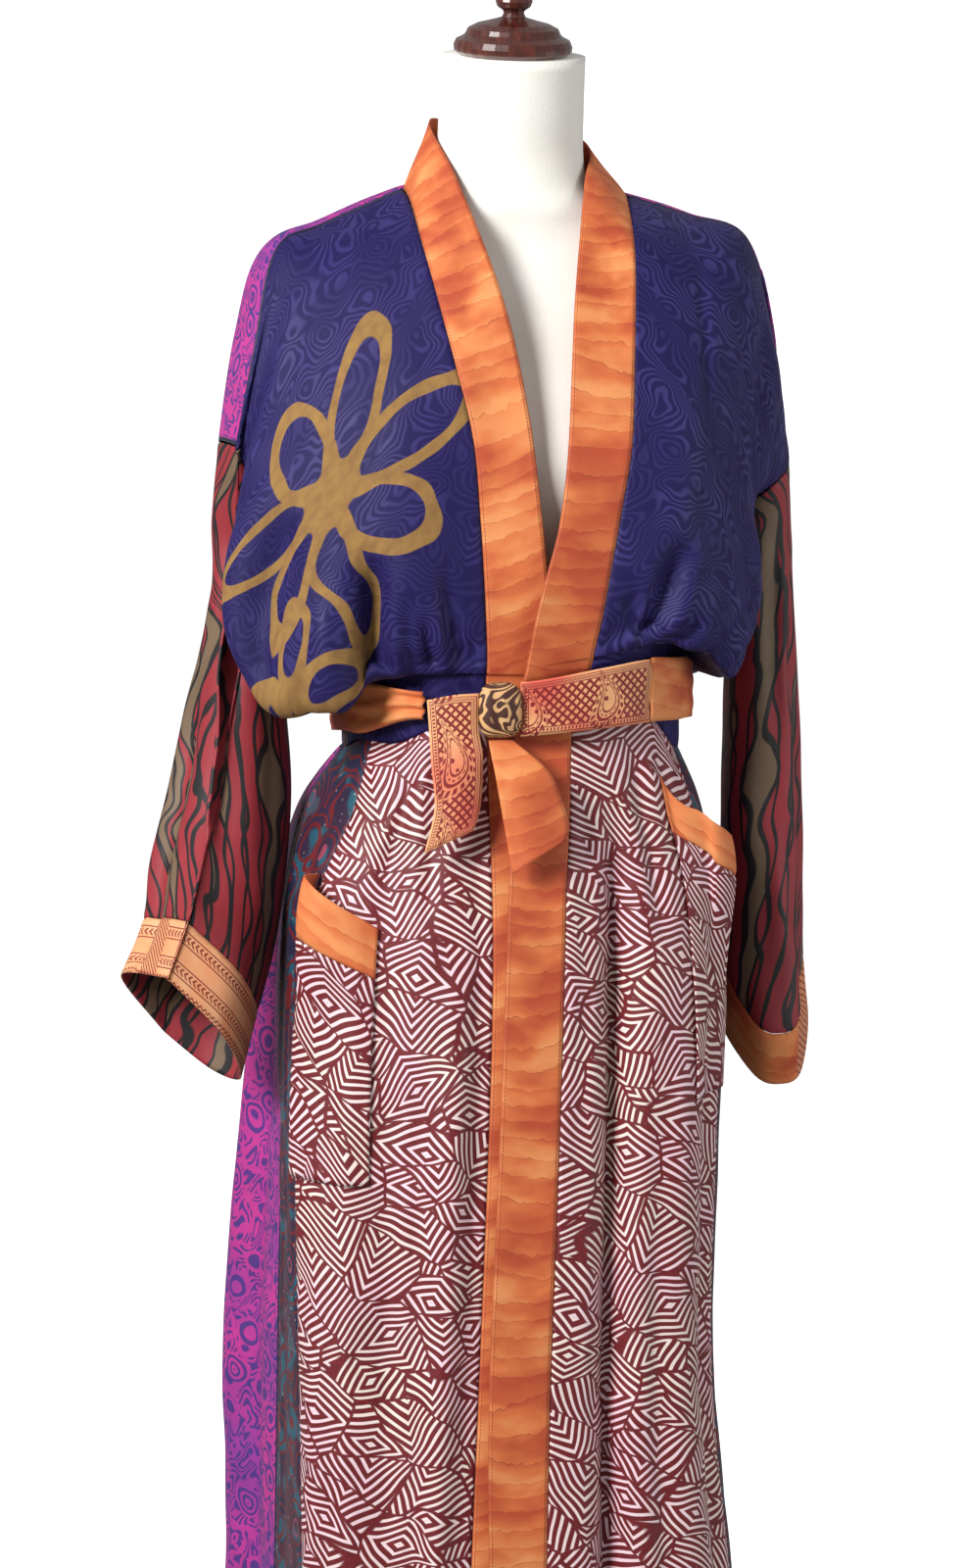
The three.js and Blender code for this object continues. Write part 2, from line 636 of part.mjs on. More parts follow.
const BACK_COLUMNS = 12;
const FRONT_LAST = RIGHT_FRONT.length - 1;
const BACK_LAST = BACK_ROWS.length;
const SEAM_COLUMN = FRONT_COLUMNS.length - 1;

// The armhole as the bodice has it: front rows from the underarm up, then the back rows down to it.
function armhole(half) {
  const sign = SIDE_SIGN[half];
  const front = FRONTS[half].slice(SIDE_ROWS).map((row) => outward(sign, row.seam));
  const hole = ARMHOLE_BACK[half].map((p) => outward(sign, p));
  return [...front, ...hole];
}

// The outer edge of a front, by its row: the side seam up to the underarm, then round the armhole.
function outerEdge(half, v) {
  const side = FRONTS[half].slice(0, SIDE_ROWS + 1).map((row) => outward(SIDE_SIGN[half], row.seam));
  if (v <= SIDE_ROWS) return along(side, v);
  return along(armhole(half), v - SIDE_ROWS, true);
}

const clamp = (t, low, high) => Math.min(Math.max(t, low), high);

// A front whose outer edge runs exactly along the shared seams.
function seamedFront(half) {
  const plain = frontSurface(half);
  return (u, v) => {
    const p = plain(u, v);
    const share = smooth(u - SEAM_COLUMN + 1);
    if (share === 0) return p;
    const row = clamp(v, 0, FRONT_LAST);
    return p.addScaledVector(outerEdge(half, row).sub(plain(SEAM_COLUMN, row)), share);
  };
}

// The waist seam is drawn up under the belt in front, more on the left. It is the same for both its edges.
const SEAM_LIFT = {
  left: 36, corner: 130, cornerOver: 44,
  right: 30, side: 13, turn: -108, turnOver: 44,
  fade: 60,
};

function seamLift(p) {
  const inFront = smooth(-p.y / SEAM_LIFT.fade);
  if (p.x > 0) return SEAM_LIFT.left * smooth((SEAM_LIFT.corner - p.x) / SEAM_LIFT.cornerOver) * inFront;
  const share = smooth((p.x - SEAM_LIFT.turn) / SEAM_LIFT.turnOver);
  return (SEAM_LIFT.side + (SEAM_LIFT.right - SEAM_LIFT.side) * share) * inFront;
}

// A panel with its waist edge on that seam, and unchanged from its next row on.
function drawnUp(surface) {
  return (u, v) => {
    const p = surface(u, v);
    if (v < 1) p.z += seamLift(surface(u, 0)) * (1 - Math.max(v, 0));
    return p;
  };
}

const FRONT_FOLDS = { right: FRONT_RIGHT_FOLDS, left: FRONT_LEFT_FOLDS };
const fronts = {};
["right", "left"].forEach((half) => {
  const plain = drawnUp(seamedFront(half));
  fronts[half] = folded(plain, FRONT_FOLDS[half], facing(plain, SEAM_COLUMN, FRONT_LAST));
});

// The back, with its shoulder and side edges brought onto the seams that it shares.
function seamedBack() {
  const withSpares = backSurface();
  const plain = (u, v) => withSpares(u + 1, v + 1);
  const edgeRow = (v) => (v <= BACK_LAST - SIDE_ROWS ? FRONT_LAST + v : BACK_LAST - v);
  const shoulder = (u) => {
    if (u <= SEAM_COLUMN) return fronts.right(SEAM_COLUMN - u, FRONT_LAST);
    if (u >= BACK_COLUMNS - SEAM_COLUMN) return fronts.left(u - BACK_COLUMNS + SEAM_COLUMN, FRONT_LAST);
    return plain(u, 0);
  };
  return (u, v) => {
    const p = plain(u, v);
    const column = clamp(u, 0, BACK_COLUMNS);
    const row = clamp(v, 0, BACK_LAST);
    const atTop = 1 - smooth(v);
    if (atTop > 0) p.addScaledVector(shoulder(column).sub(plain(column, 0)), atTop);
    const half = u < BACK_COLUMNS / 2 ? "right" : "left";
    const edge = half === "right" ? 0 : BACK_COLUMNS;
    const atSide = 1 - smooth(Math.abs(u - edge));
    if (atSide === 0) return p;
    const shift = outerEdge(half, edgeRow(row)).sub(plain(edge, row));
    if (atTop > 0) shift.addScaledVector(shoulder(edge).sub(plain(edge, 0)), -atTop);
    return p.addScaledVector(shift, atSide);
  };
}

const backPlain = seamedBack();
const back = folded(backPlain, BACK_FOLDS, facing(backPlain, BACK_COLUMNS, BACK_LAST));

function bodice() {
  const rows = spread(0, FRONT_LAST, 20);
  const columns = spread(0, SEAM_COLUMN, 12);
  return [
    clothWall("front_right", COLOURS.indigo, fronts.right, { us: columns, vs: rows, gaps: "abcd" }),
    clothWall("front_left", COLOURS.indigo, fronts.left, { us: columns, vs: rows, gaps: "abcd" }),
    clothWall("bodice_back", COLOURS.magenta, back, {
      us: spread(0, BACK_COLUMNS, 24),
      vs: spread(0, BACK_LAST, 17),
      gaps: "abcd",
    }),
  ];
}

// Sleeves

function ringPoint(ring, sign, turn) {
  const x = ring.halfX * Math.cos(turn);
  const y = ring.halfY * Math.sin(turn);
  return point(sign * (ring.x + x), ring.y + y, ring.z + ring.tiltX * x + ring.tiltY * y);
}

// The sleeve's rings have one point for each armhole point, starting at the underarm and going forward.
function sleeveSurface(half) {
  const sign = SIDE_SIGN[half];
  const top = armhole(half);
  const middle = centroid(top);
  const turns = top.map((p) => Math.atan2(p.y - middle.y, sign * (p.x - middle.x)));
  const rings = SLEEVES[half].map((ring) => turns.map((turn) => ringPoint(ring, sign, turn)));
  const cuff = turns.map((turn) => ringPoint(CUFFS[half], sign, turn));
  return loft([top, ...rings, cuff], true);
}

const RING_POINTS = armhole("right").length;
const SLEEVE_ROWS = SLEEVES.right.length;
const SLEEVE_START = 0.02;
const sleeves = { right: null, left: null };
["right", "left"].forEach((half) => {
  const plain = sleeveSurface(half);
  sleeves[half] = folded(plain, SLEEVE_FOLDS[half], facing(plain, RING_POINTS, SLEEVE_ROWS, true));
});

function sleeveAndCuff(half) {
  const us = spread(0, RING_POINTS - 1 / 2, 2 * RING_POINTS - 1);
  const surface = sleeves[half];
  return [
    clothWall(`sleeve_${half}`, COLOURS.sleeve, surface, {
      us,
      vs: [SLEEVE_START, ...spread(0, SLEEVE_ROWS, 13).slice(1)],
      gaps: "cd",
      closed: true,
    }),
    clothWall(`cuff_${half}`, COLOURS.peach, surface, {
      us,
      vs: spread(SLEEVE_ROWS, SLEEVE_ROWS + 1, 2),
      gaps: "c",
      closed: true,
    }),
  ];
}

// Skirt

const skirtRow = (row) => SKIRT_COLUMNS.map((name) => point(row[name][0], row[name][1], row.z));
const skirtLoft = drawnUp(loft(SKIRT_ROWS.map(skirtRow)));
const SKIRT_LAST = SKIRT_ROWS.length - 1;
const skirtFacing = facing(skirtLoft, SKIRT_COLUMNS.length - 1, SKIRT_LAST);
const skirt = folded(skirtLoft, SKIRT_FOLDS, skirtFacing);
const SKIRT_PANELS = [
  {
    name: "skirt_front_right", from: "bandR", to: "cornerR", cells: 14, rows: 12,
    colour: COLOURS.maroonPrint,
  },
  { name: "side_panel_right", from: "cornerR", to: "sideR", cells: 3, rows: 12, colour: COLOURS.navy },
  { name: "skirt_back", from: "sideR", to: "sideL", cells: 20, rows: 11, colour: COLOURS.magenta },
  { name: "side_panel_left", from: "sideL", to: "cornerL", cells: 3, rows: 12, colour: COLOURS.navy },
  {
    name: "skirt_front_left", from: "cornerL", to: "bandL", cells: 14, rows: 12,
    colour: COLOURS.maroonPrint,
  },
];

function skirtPanels() {
  return SKIRT_PANELS.map(({ name, from, to, cells, rows, colour }) =>
    clothWall(name, colour, skirt, {
      us: spread(column(from), column(to), cells),
      vs: spread(0, SKIRT_LAST, rows),
      gaps: "abc",
    }),
  );
}

// Front bands

// The seam edge of a band, which is the edge of whatever it is sewn to.
function bandSeam(half, t) {
  const sign = SIDE_SIGN[half];
  if (t < BAND_NAPE) return back(BACK_COLUMNS / 2 + sign * t, 0);
  if (t <= BAND_WAIST) return fronts[half](0, BAND_WAIST - t);
  return skirt(half === "right" ? 0 : SKIRT_COLUMNS.length - 1, t - BAND_WAIST);
}

// A flat strip from its seam to its free edge, with a mirrored row before the nape for its slopes.
function bandSurface(half, edge) {
  const sign = SIDE_SIGN[half];
  const free = [outward(-sign, edge[1]), ...edge.map((p) => outward(sign, p))];
  return (u, t) => bandSeam(half, t).lerp(along(free, t + 1), u);
}

function frontBands() {
  const us = [0, 0.5, 1];
  const vs = spread(0, BAND_RIGHT.length - 1, 38);
  return [
    clothWall("neckband_right", COLOURS.orange, bandSurface("right", BAND_RIGHT), { us, vs, gaps: "ac" }),
    clothWall("neckband_left", COLOURS.orange, bandSurface("left", BAND_LEFT), { us, vs, gaps: "ac" }),
  ];
}

// Pockets, moved out from the points of the skirt. A band closes each mouth.

const POCKETS = {
  right: {
    inner: 1.28, outer: 1.93, mouthInner: 2.3, mouthOuter: 1.85,
    bandInner: 2.78, foot: 4.1, gape: 20,
  },
  left: {
    inner: 10.62, outer: 10.06, mouthInner: 0.65, mouthOuter: 1.5,
    bandInner: 1.27, foot: 3.7, gape: 22,
  },
};
const POCKET_LIFT = CLOTH + CONTACT + 0.8;
const POCKET_HALF = 0.85;
const POCKET_RETURN = 0.18;
const POCKET_CLOSED = 0.75;

// s crosses the pocket from its inner side, past 1 where it turns back to the skirt; t runs down.
function pocketSurface(pocket) {
  return (s, t) => {
    const u = pocket.inner + (pocket.outer - pocket.inner) * s;
    const mouth = pocket.mouthInner + (pocket.mouthOuter - pocket.mouthInner) * s;
    const v = mouth + (pocket.foot - mouth) * t;
    const across = smooth(s / POCKET_HALF) * (1 - smooth((s - 1) / POCKET_RETURN));
    const lift = POCKET_LIFT + pocket.gape * across * (1 - smooth(t / POCKET_CLOSED));
    return skirt(u, v).addScaledVector(slopes(skirt, u, v), lift * skirtFacing);
  };
}

function pocketPieces(half) {
  const pocket = POCKETS[half];
  const surface = pocketSurface(pocket);
  const share = (pocket.bandInner - pocket.mouthInner) / (pocket.foot - pocket.mouthInner);
  const us = [...spread(0, 1, 7), 1 + POCKET_RETURN / 2, 1 + POCKET_RETURN];
  return [
    clothWall(`pocket_band_${half}`, COLOURS.orange, surface, { us, vs: spread(0, share, 2), gaps: "d" }),
    clothWall(`pocket_${half}`, COLOURS.maroonPrint, surface, { us, vs: spread(share, 1, 6), gaps: "c" }),
  ];
}

// Belt

const BELT_PLAN_POINTS = BELT_PLAN.map(([x, y]) => point(x, y, 0));

function edgeHeight(share, key) {
  const next = BELT_EDGES.findIndex((row) => row.along >= share);
  if (next <= 0) return BELT_EDGES[0][key];
  const a = BELT_EDGES[next - 1];
  const b = BELT_EDGES[next];
  const t = (share - a.along) / (b.along - a.along);
  return a[key] + (b[key] - a[key]) * smooth(t);
}

function beltSurface(u, v) {
  const last = BELT_PLAN_POINTS.length - 1;
  const p = along(BELT_PLAN_POINTS, u);
  const share = Math.min(Math.max(u / last, 0), 1);
  const low = edgeHeight(share, "low");
  const high = edgeHeight(share, "high");
  p.z = high + (low - high) * v;
  return p;
}

// The printed length crosses in front of both bands.
const BELT_PRINT = [[90.4, -123.5], [66, -138], [36, -146], [8, -149], [-14, -149.5]];
const BELT_PRINT_LOW = { from: 1031, to: 1025 };
const BELT_PRINT_HIGH = { from: 1079, to: 1066 };
const BELT_PRINT_POINTS = BELT_PRINT.map(([x, y]) => point(x, y, 0));

function beltPrintSurface(u, v) {
  const last = BELT_PRINT_POINTS.length - 1;
  const p = along(BELT_PRINT_POINTS, u);
  const share = u / last;
  const low = BELT_PRINT_LOW.from + (BELT_PRINT_LOW.to - BELT_PRINT_LOW.from) * share;
  const high = BELT_PRINT_HIGH.from + (BELT_PRINT_HIGH.to - BELT_PRINT_HIGH.from) * share;
  p.z = high + (low - high) * v;
  return p;
}

const KNOT = {
  x: -29.4, y: -149, z: 1045, halfX: 18, halfY: 9, halfZ: 22,
  around: 14, rings: 7, pinch: 0.12, twist: 1.2,
};
const TAIL_PRINT = [
  [[-45.3, -151, 1058], [-64, -150, 1057], [-84, -146, 1053]],
  [[-45.5, -152, 1030], [-63, -154, 1030], [-83, -151, 1030]],
  [[-43, -156, 1008], [-61, -159, 1006], [-82, -155, 1006]],
  [[-45, -157, 974], [-62, -161, 973], [-80, -158, 973]],
  [[-51, -160, 956], [-68, -163, 949], [-88, -161, 940]],
];
const TAIL_PLAIN = [
  [[-20, -150, 1022.4], [-29, -150, 1022.6], [-38, -150, 1022.4]],
  [[4, -163, 1002], [-16, -167, 996], [-36, -163, 1004]],
  [[14, -164, 982], [-12, -169, 976], [-32, -165, 980]],
  [[21, -165, 956], [-6, -170, 946], [-27, -167, 950]],
  [[10, -168, 944], [-10, -172, 934], [-24, -170, 930]],
  [[-10, -170, 934], [-16, -172, 929], [-22, -171, 925]],
];

const rowsOf = (table) => loft(table.map((row) => row.map(([x, y, z]) => point(x, y, z))));

// A closed lump: rings between two poles, with a wrap crease across it.
function knot() {
  const { around, rings } = KNOT;
  const positions = [KNOT.x, KNOT.y, KNOT.z + KNOT.halfZ];
  for (let j = 1; j < rings; j += 1) {
    const tilt = (Math.PI * j) / rings;
    for (let i = 0; i < around; i += 1) {
      const turn = (2 * Math.PI * i) / around;
      const pinch = 1 - KNOT.pinch * Math.cos(2 * turn + KNOT.twist * Math.cos(tilt));
      positions.push(
        KNOT.x + KNOT.halfX * Math.sin(tilt) * Math.cos(turn) * pinch,
        KNOT.y + KNOT.halfY * Math.sin(tilt) * Math.sin(turn) * pinch,
        KNOT.z + KNOT.halfZ * Math.cos(tilt),
      );
    }
  }
  positions.push(KNOT.x, KNOT.y, KNOT.z - KNOT.halfZ);
  return capped("belt_knot", COLOURS.coral, positions, rings - 1, around);
}

// Rings between a first and a last point, as one closed body.
function capped(name, colour, positions, rings, around, roughness) {
  const indices = [];
  const last = 1 + rings * around;
  for (let i = 0; i < around; i += 1) {
    const next = (i + 1) % around;
    indices.push(0, 1 + i, 1 + next);
    for (let j = 0; j < rings - 1; j += 1) {
      const a = 1 + j * around + i;
      const b = 1 + j * around + next;
      indices.push(a, a + around, b + around, a, b + around, b);
    }
    const end = 1 + (rings - 1) * around;
    indices.push(end + i, last, end + next);
  }
  return mesh(name, colour, positions, indices, roughness);
}

function belt() {
  const last = BELT_PLAN_POINTS.length - 1;
  const printLast = BELT_PRINT_POINTS.length - 1;
  return [
    clothWall("belt_plain", COLOURS.orange, beltSurface, { us: spread(0, last, 40), vs: [0, 0.5, 1] }),
    clothWall("belt_print", COLOURS.coral, beltPrintSurface, {
      us: spread(0, printLast, 8),
      vs: [0, 0.5, 1],
      gaps: "ab",
    }),
    knot(),
    clothWall("belt_tail_print", COLOURS.coral, rowsOf(TAIL_PRINT), {
      us: spread(0, 2, 4),
      vs: spread(0, 4, 10),
    }),
    clothWall("belt_tail_plain", COLOURS.orange, rowsOf(TAIL_PLAIN), {
      us: spread(0, 2, 4),
      vs: spread(0, 5, 10),
    }),
  ];
}

// Dress form

const TORSO_ROWS = [
  { z: FORM_BOTTOM_Z, half: 138, front: -104, back: 108 },
  { z: 800, half: 146, front: -110, back: 114 },
  { z: 850, half: 147, front: -112, back: 116 },
  { z: 900, half: 143, front: -108, back: 112 },
  { z: 950, half: 128, front: -102, back: 98 },
  { z: 1000, half: 114, front: -98, back: 84 },
  { z: 1040, half: 110, front: -96, back: 80 },
  { z: 1090, half: 118, front: -102, back: 84 },
  { z: 1140, half: 132, front: -112, back: 90 },
  { z: 1190, half: 146, front: -126, back: 94 },
  { z: 1230, half: 152, front: -128, back: 97 },
  { z: 1280, half: 155, front: -113, back: 98 },
  { z: 1325, half: 162, front: -92, back: 96 },
  { z: 1360, half: 168, front: -68, back: 82 },
  { z: 1385, half: 155, front: -50, back: 68 },
  { z: 1402, half: 116, front: -46, back: 62 },
  { z: 1418, half: 84, front: -48, back: 61 },
  { z: 1436, half: 62, front: -48, back: 58 },
  { z: 1458, half: NECK_RADIUS + 1, front: -49, back: 53 },
  { z: 1495, half: NECK_RADIUS, front: -56, back: 46 },
  { z: NECK_TOP_Z, half: NECK_RADIUS, front: -63, back: 38 },
];
const TORSO_AROUND = 24;
const NECK_LEAN_FROM = 1458;
const LEAN_START = 1420;
const TORSO_POWER = 0.88;

function torso() {
  const positions = [];
  const centreOf = (row) => (row.front + row.back) / 2;
  const top = TORSO_ROWS[TORSO_ROWS.length - 1];
  const rows = [...TORSO_ROWS].reverse();
  positions.push(0, centreOf(top), NECK_TOP_Z);
  rows.forEach((row) => {
    const middle = centreOf(row);
    const depth = (row.back - row.front) / 2;
    const lean = NECK_LEAN * smooth((row.z - LEAN_START) / (NECK_TOP_Z - LEAN_START));
    for (let i = 0; i < TORSO_AROUND; i += 1) {
      const turn = (2 * Math.PI * i) / TORSO_AROUND;
      const power = row.z > NECK_LEAN_FROM ? 1 : TORSO_POWER;
      const x = Math.sign(Math.cos(turn)) * Math.abs(Math.cos(turn)) ** power * row.half;
      const y = Math.sign(Math.sin(turn)) * Math.abs(Math.sin(turn)) ** power * depth;
      positions.push(x, middle + y, row.z + lean * y);
    }
  });
  positions.push(0, centreOf(TORSO_ROWS[0]), FORM_BOTTOM_Z);
  return capped("form_torso", COLOURS.offWhite, positions, rows.length, TORSO_AROUND, 0.9);
}

function turned(name, colour, profile, segments, roughness) {
  const points = profile.map(([radius, height]) => new THREE.Vector2(radius, height));
  const geometry = new THREE.LatheGeometry(points, segments);
  geometry.rotateX(Math.PI / 2);
  const material = new THREE.MeshStandardMaterial({ color: colour, roughness, metalness: 0 });
  const made = new THREE.Mesh(geometry, material);
  made.name = name;
  return made;
}

// Profiles of the turned wood, from the foot up on the axis.
const CAP_HEIGHT = 28;
const POLE_FOOT = 58;
const CAP_PROFILE = [
  [0, 0], [42, 0], [CAP_RADIUS - 0.5, 3], [CAP_RADIUS, 7], [44, 11.5], [38, 14.5], [36.5, 16.5],
  [35, 20], [28, 23.5], [18, 26], [11, CAP_HEIGHT], [0, CAP_HEIGHT],
];
const FINIAL_PROFILE = [
  [0, 0], [9.5, 0], [8, 3], [8.5, 5], [13, 8], [14.5, 12], [12.5, 17], [8, 21], [7.5, 24], [9.5, 28],
  [8, 34], [4, 39], [0, 41],
];
const BASE_PROFILE = [
  [0, 0], [BASE_RADIUS - 4, 0], [BASE_RADIUS, 4], [BASE_RADIUS, 10], [BASE_RADIUS - 6, 15],
  [BASE_RADIUS - 14, 17], [110, 20], [60, 23], [34, BASE_HEIGHT], [30, 44], [26, 54], [19, POLE_FOOT],
  [0, POLE_FOOT],
];
function stand() {
  const cap = turned("form_cap", COLOURS.wood, CAP_PROFILE, 28, 0.3);
  const finial = turned("form_finial", COLOURS.wood, FINIAL_PROFILE, 16, 0.3);
  finial.position.z = CAP_HEIGHT + CONTACT;
  const top = new THREE.Group().add(cap, finial);
  const neck = TORSO_ROWS[TORSO_ROWS.length - 1];
  top.position.set(0, (neck.front + neck.back) / 2, NECK_TOP_Z + CONTACT);
  top.rotation.x = Math.atan(NECK_LEAN);
  const pole = new THREE.Mesh(
    new THREE.CylinderGeometry(POLE_RADIUS, POLE_RADIUS, FORM_BOTTOM_Z - POLE_FOOT - 2 * CONTACT, 24),
    new THREE.MeshStandardMaterial({ color: COLOURS.wood, roughness: 0.3 }),
  );
  pole.name = "form_pole";
  pole.rotation.x = Math.PI / 2;
  pole.position.z = (FORM_BOTTOM_Z + POLE_FOOT) / 2;
  const base = turned("form_base", COLOURS.wood, BASE_PROFILE, 36, 0.3);
  return [torso(), top, pole, base];
}

const duster = new THREE.Group();
duster.add(...bodice());
["right", "left"].forEach((half) => duster.add(...sleeveAndCuff(half), ...pocketPieces(half)));
duster.add(...skirtPanels(), ...frontBands(), ...belt(), ...stand());

export default duster;
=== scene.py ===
"""A kimono duster with its tied belt on a limbless dress form: cloth, prints, light and camera.

Tables are in millimetres, in the frame's axes: x to the wearer's left, the front faces -y, and z goes up
from the floor.
"""
import math

import bpy
import numpy as np
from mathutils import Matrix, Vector


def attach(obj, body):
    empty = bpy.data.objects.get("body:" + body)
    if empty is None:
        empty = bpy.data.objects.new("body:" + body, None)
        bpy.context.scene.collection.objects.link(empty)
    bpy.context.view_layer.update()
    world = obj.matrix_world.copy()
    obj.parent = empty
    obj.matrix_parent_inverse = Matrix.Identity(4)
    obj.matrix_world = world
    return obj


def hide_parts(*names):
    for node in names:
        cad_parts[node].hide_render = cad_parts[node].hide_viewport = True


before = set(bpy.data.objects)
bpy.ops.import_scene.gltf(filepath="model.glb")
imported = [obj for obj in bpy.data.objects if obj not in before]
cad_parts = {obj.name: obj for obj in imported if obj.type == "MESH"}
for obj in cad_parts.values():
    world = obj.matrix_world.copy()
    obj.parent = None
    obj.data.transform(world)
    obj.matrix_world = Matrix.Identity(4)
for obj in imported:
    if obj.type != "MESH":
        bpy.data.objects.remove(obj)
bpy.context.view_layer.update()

MM = 0.001
CLOTH = 1.1
FADING_ENDS = 0.35
SEAM_GAP = 0.5
SEAM_DIP = 0.7
SEAM_DIP_WIDTH = 5.0
GRID_STEP = 3.6
SIGN = {"right": -1, "left": 1}

# Rows from the waist up over the shoulder: band edge, chest, crest, outer fold, side seam.
RIGHT_FRONT = [
    [(36, -122, 1000), (78, -112, 1000), (112, -78, 1000), (130, -38, 1000), (133, 2, 1000)],
    [(37, -127, 1062), (80, -117, 1064), (114, -82, 1064), (132, -40, 1063), (135, 2, 1062)],
    [(37, -131, 1071), (86, -125, 1070), (130, -98, 1062), (149, -52, 1058), (145, 2, 1055)],
    [(37, -134, 1084), (92, -134, 1076), (160, -117, 1042), (188, -76, 1034), (148, 3, 1040)],
    [(38, -137, 1104), (98, -143, 1098), (178, -122, 1070), (219, -78, 1064), (150, 4, 1070)],
    [(40, -140, 1140), (102, -147, 1138), (182, -116, 1122), (231, -66, 1114), (154, 4, 1120)],
    [(43, -141, 1185), (106, -143, 1184), (178, -110, 1178), (224, -62, 1176), (170, 4, 1178)],
    [(48, -139, 1245), (112, -133, 1242), (174, -100, 1232), (214, -62, 1216), (190, -20, 1194)],
    [(60, -126, 1302), (120, -114, 1296), (175, -82, 1284), (208, -54, 1254), (209, -36, 1221)],
    [(77, -72, 1388), (128, -60, 1374), (178, -46, 1352), (204, -50, 1288), (215, -42, 1233)],
    [(84, 2, 1434), (146, 0, 1407), (184, -20, 1386), (203, -44, 1312), (217, -40, 1238)],
]

LEFT_FRONT = [
    [(29, -127.5, 1000), (74, -115, 1000), (110, -80, 1000), (129, -38, 1000), (133, 2, 1000)],
    [(43, -134, 1074), (82, -121, 1084), (114, -84, 1086), (131, -40, 1080), (135, 2, 1072)],
    [(44, -137, 1083), (89, -129, 1090), (124, -98, 1088), (143, -52, 1076), (142, 2, 1066)],
    [(46, -139, 1094), (95, -138, 1096), (142, -113, 1072), (162, -70, 1057), (146, 3, 1058)],
    [(50, -142, 1114), (99, -143, 1112), (152, -118, 1094), (179, -74, 1086), (149, 4, 1084)],
    [(56, -144, 1150), (104, -145, 1150), (158, -112, 1140), (188, -64, 1128), (153, 4, 1128)],
    [(63, -144, 1190), (112, -139, 1190), (157, -104, 1188), (183, -64, 1184), (168, 4, 1176)],
    [(72, -139, 1240), (122, -126, 1238), (162, -92, 1236), (194, -58, 1214), (188, -20, 1192)],
    [(77, -121, 1300), (126, -106, 1298), (168, -76, 1292), (201, -48, 1254), (208, -26, 1207)],
    [(85, -76, 1386), (128, -62, 1378), (176, -44, 1364), (207, -26, 1304), (222, -10, 1218)],
    [(93, 3, 1430), (142, 8, 1416), (189, 10, 1399), (211, 12, 1330), (227, 14, 1222)],
]

# Rows of the right half of the back from the shoulder down: centre, nape, neck, blade, crest, outer fold.
BACK_ROWS = [
    [(0, 84, 1438), (54, 76, 1433), (100, 42, 1424), (150, 28, 1406), (194, 22, 1386), (213, 16, 1326)],
    [(0, 102, 1395), (58, 98, 1392), (108, 82, 1384), (152, 70, 1374), (192, 58, 1352), (212, 52, 1300)],
    [(0, 110, 1325), (60, 112, 1322), (116, 106, 1316), (160, 95, 1306), (194, 78, 1288), (214, 67, 1256)],
    [(0, 110, 1250), (60, 114, 1246), (120, 112, 1240), (168, 100, 1232), (202, 82, 1222), (217, 63, 1213)],
    [(0, 106, 1190), (60, 112, 1186), (122, 114, 1182), (172, 105, 1178), (205, 84, 1176), (211, 57, 1178)],
    [(0, 104, 1130), (60, 110, 1128), (122, 116, 1122), (172, 108, 1116), (206, 86, 1112), (210, 55, 1114)],
    [(0, 103, 1092), (60, 108, 1090), (120, 113, 1080), (166, 106, 1070), (195, 84, 1064), (197, 51, 1064)],
    [(0, 101, 1078), (58, 105, 1076), (112, 107, 1066), (149, 98, 1050), (174, 76, 1040), (174, 42, 1039)],
    [(0, 98, 1071), (54, 100, 1070), (96, 93, 1066), (124, 76, 1062), (142, 52, 1058), (147, 26, 1056)],
    [(0, 95, 1064), (50, 92, 1064), (86, 80, 1064), (112, 62, 1063), (126, 42, 1063), (133, 22, 1062)],
    [(0, 93, 1000), (50, 90, 1000), (85, 78, 1000), (110, 60, 1000), (124, 40, 1000), (131, 20, 1000)],
]

ARMHOLE_BACK = {
    "right": [(228, 6, 1241), (222, 42, 1233), (207, 42, 1213), (187, 24, 1192)],
    "left": [(226, 34, 1223), (217, 46, 1216), (203, 44, 1203), (185, 26, 1187)],
}

NAPE = [(0, 68, 1446), (48, 55, 1444)]

# Sleeve rings below the armhole, the last one the cuff: x, y, z, half width, half depth, rise per mm in x
# and in y.
SLEEVES = {
    "right": [
        (209, 12, 1164, 26, 24, 0.5, 0),
        (209, 6, 1120, 29, 31, 0.2, 0),
        (216, 2, 1050, 39, 36, 0.1, 0),
        (224, -10, 965, 50, 40, 0.2, -0.1),
        (238, -32, 893, 52, 46, 0.55, -0.3),
        (250, -48, 843, 46, 50, 0.9, -0.55),
        (266, -56, 797, 48, 51, 0.95, -0.6),
    ],
    "left": [
        (204, 11, 1158, 26, 25, 0.4, 0),
        (206, 13, 1095, 28, 34, 0.1, 0),
        (209, 16, 1010, 32, 41, 0, 0.1),
        (210, 14, 930, 34, 46, 0, 0.4),
        (209, 8, 868, 35, 50, -0.05, 0.75),
        (208, 0, 822, 35, 52, -0.1, 1),
        (210, 10, 781, 39, 54, -0.1, 1),
    ],
}

SKIRT_COLUMNS = [
    "bandR", "frontR", "cornerR", "sideR", "backR", "napeR", "back",
    "napeL", "backL", "sideL", "cornerL", "frontL", "bandL",
]

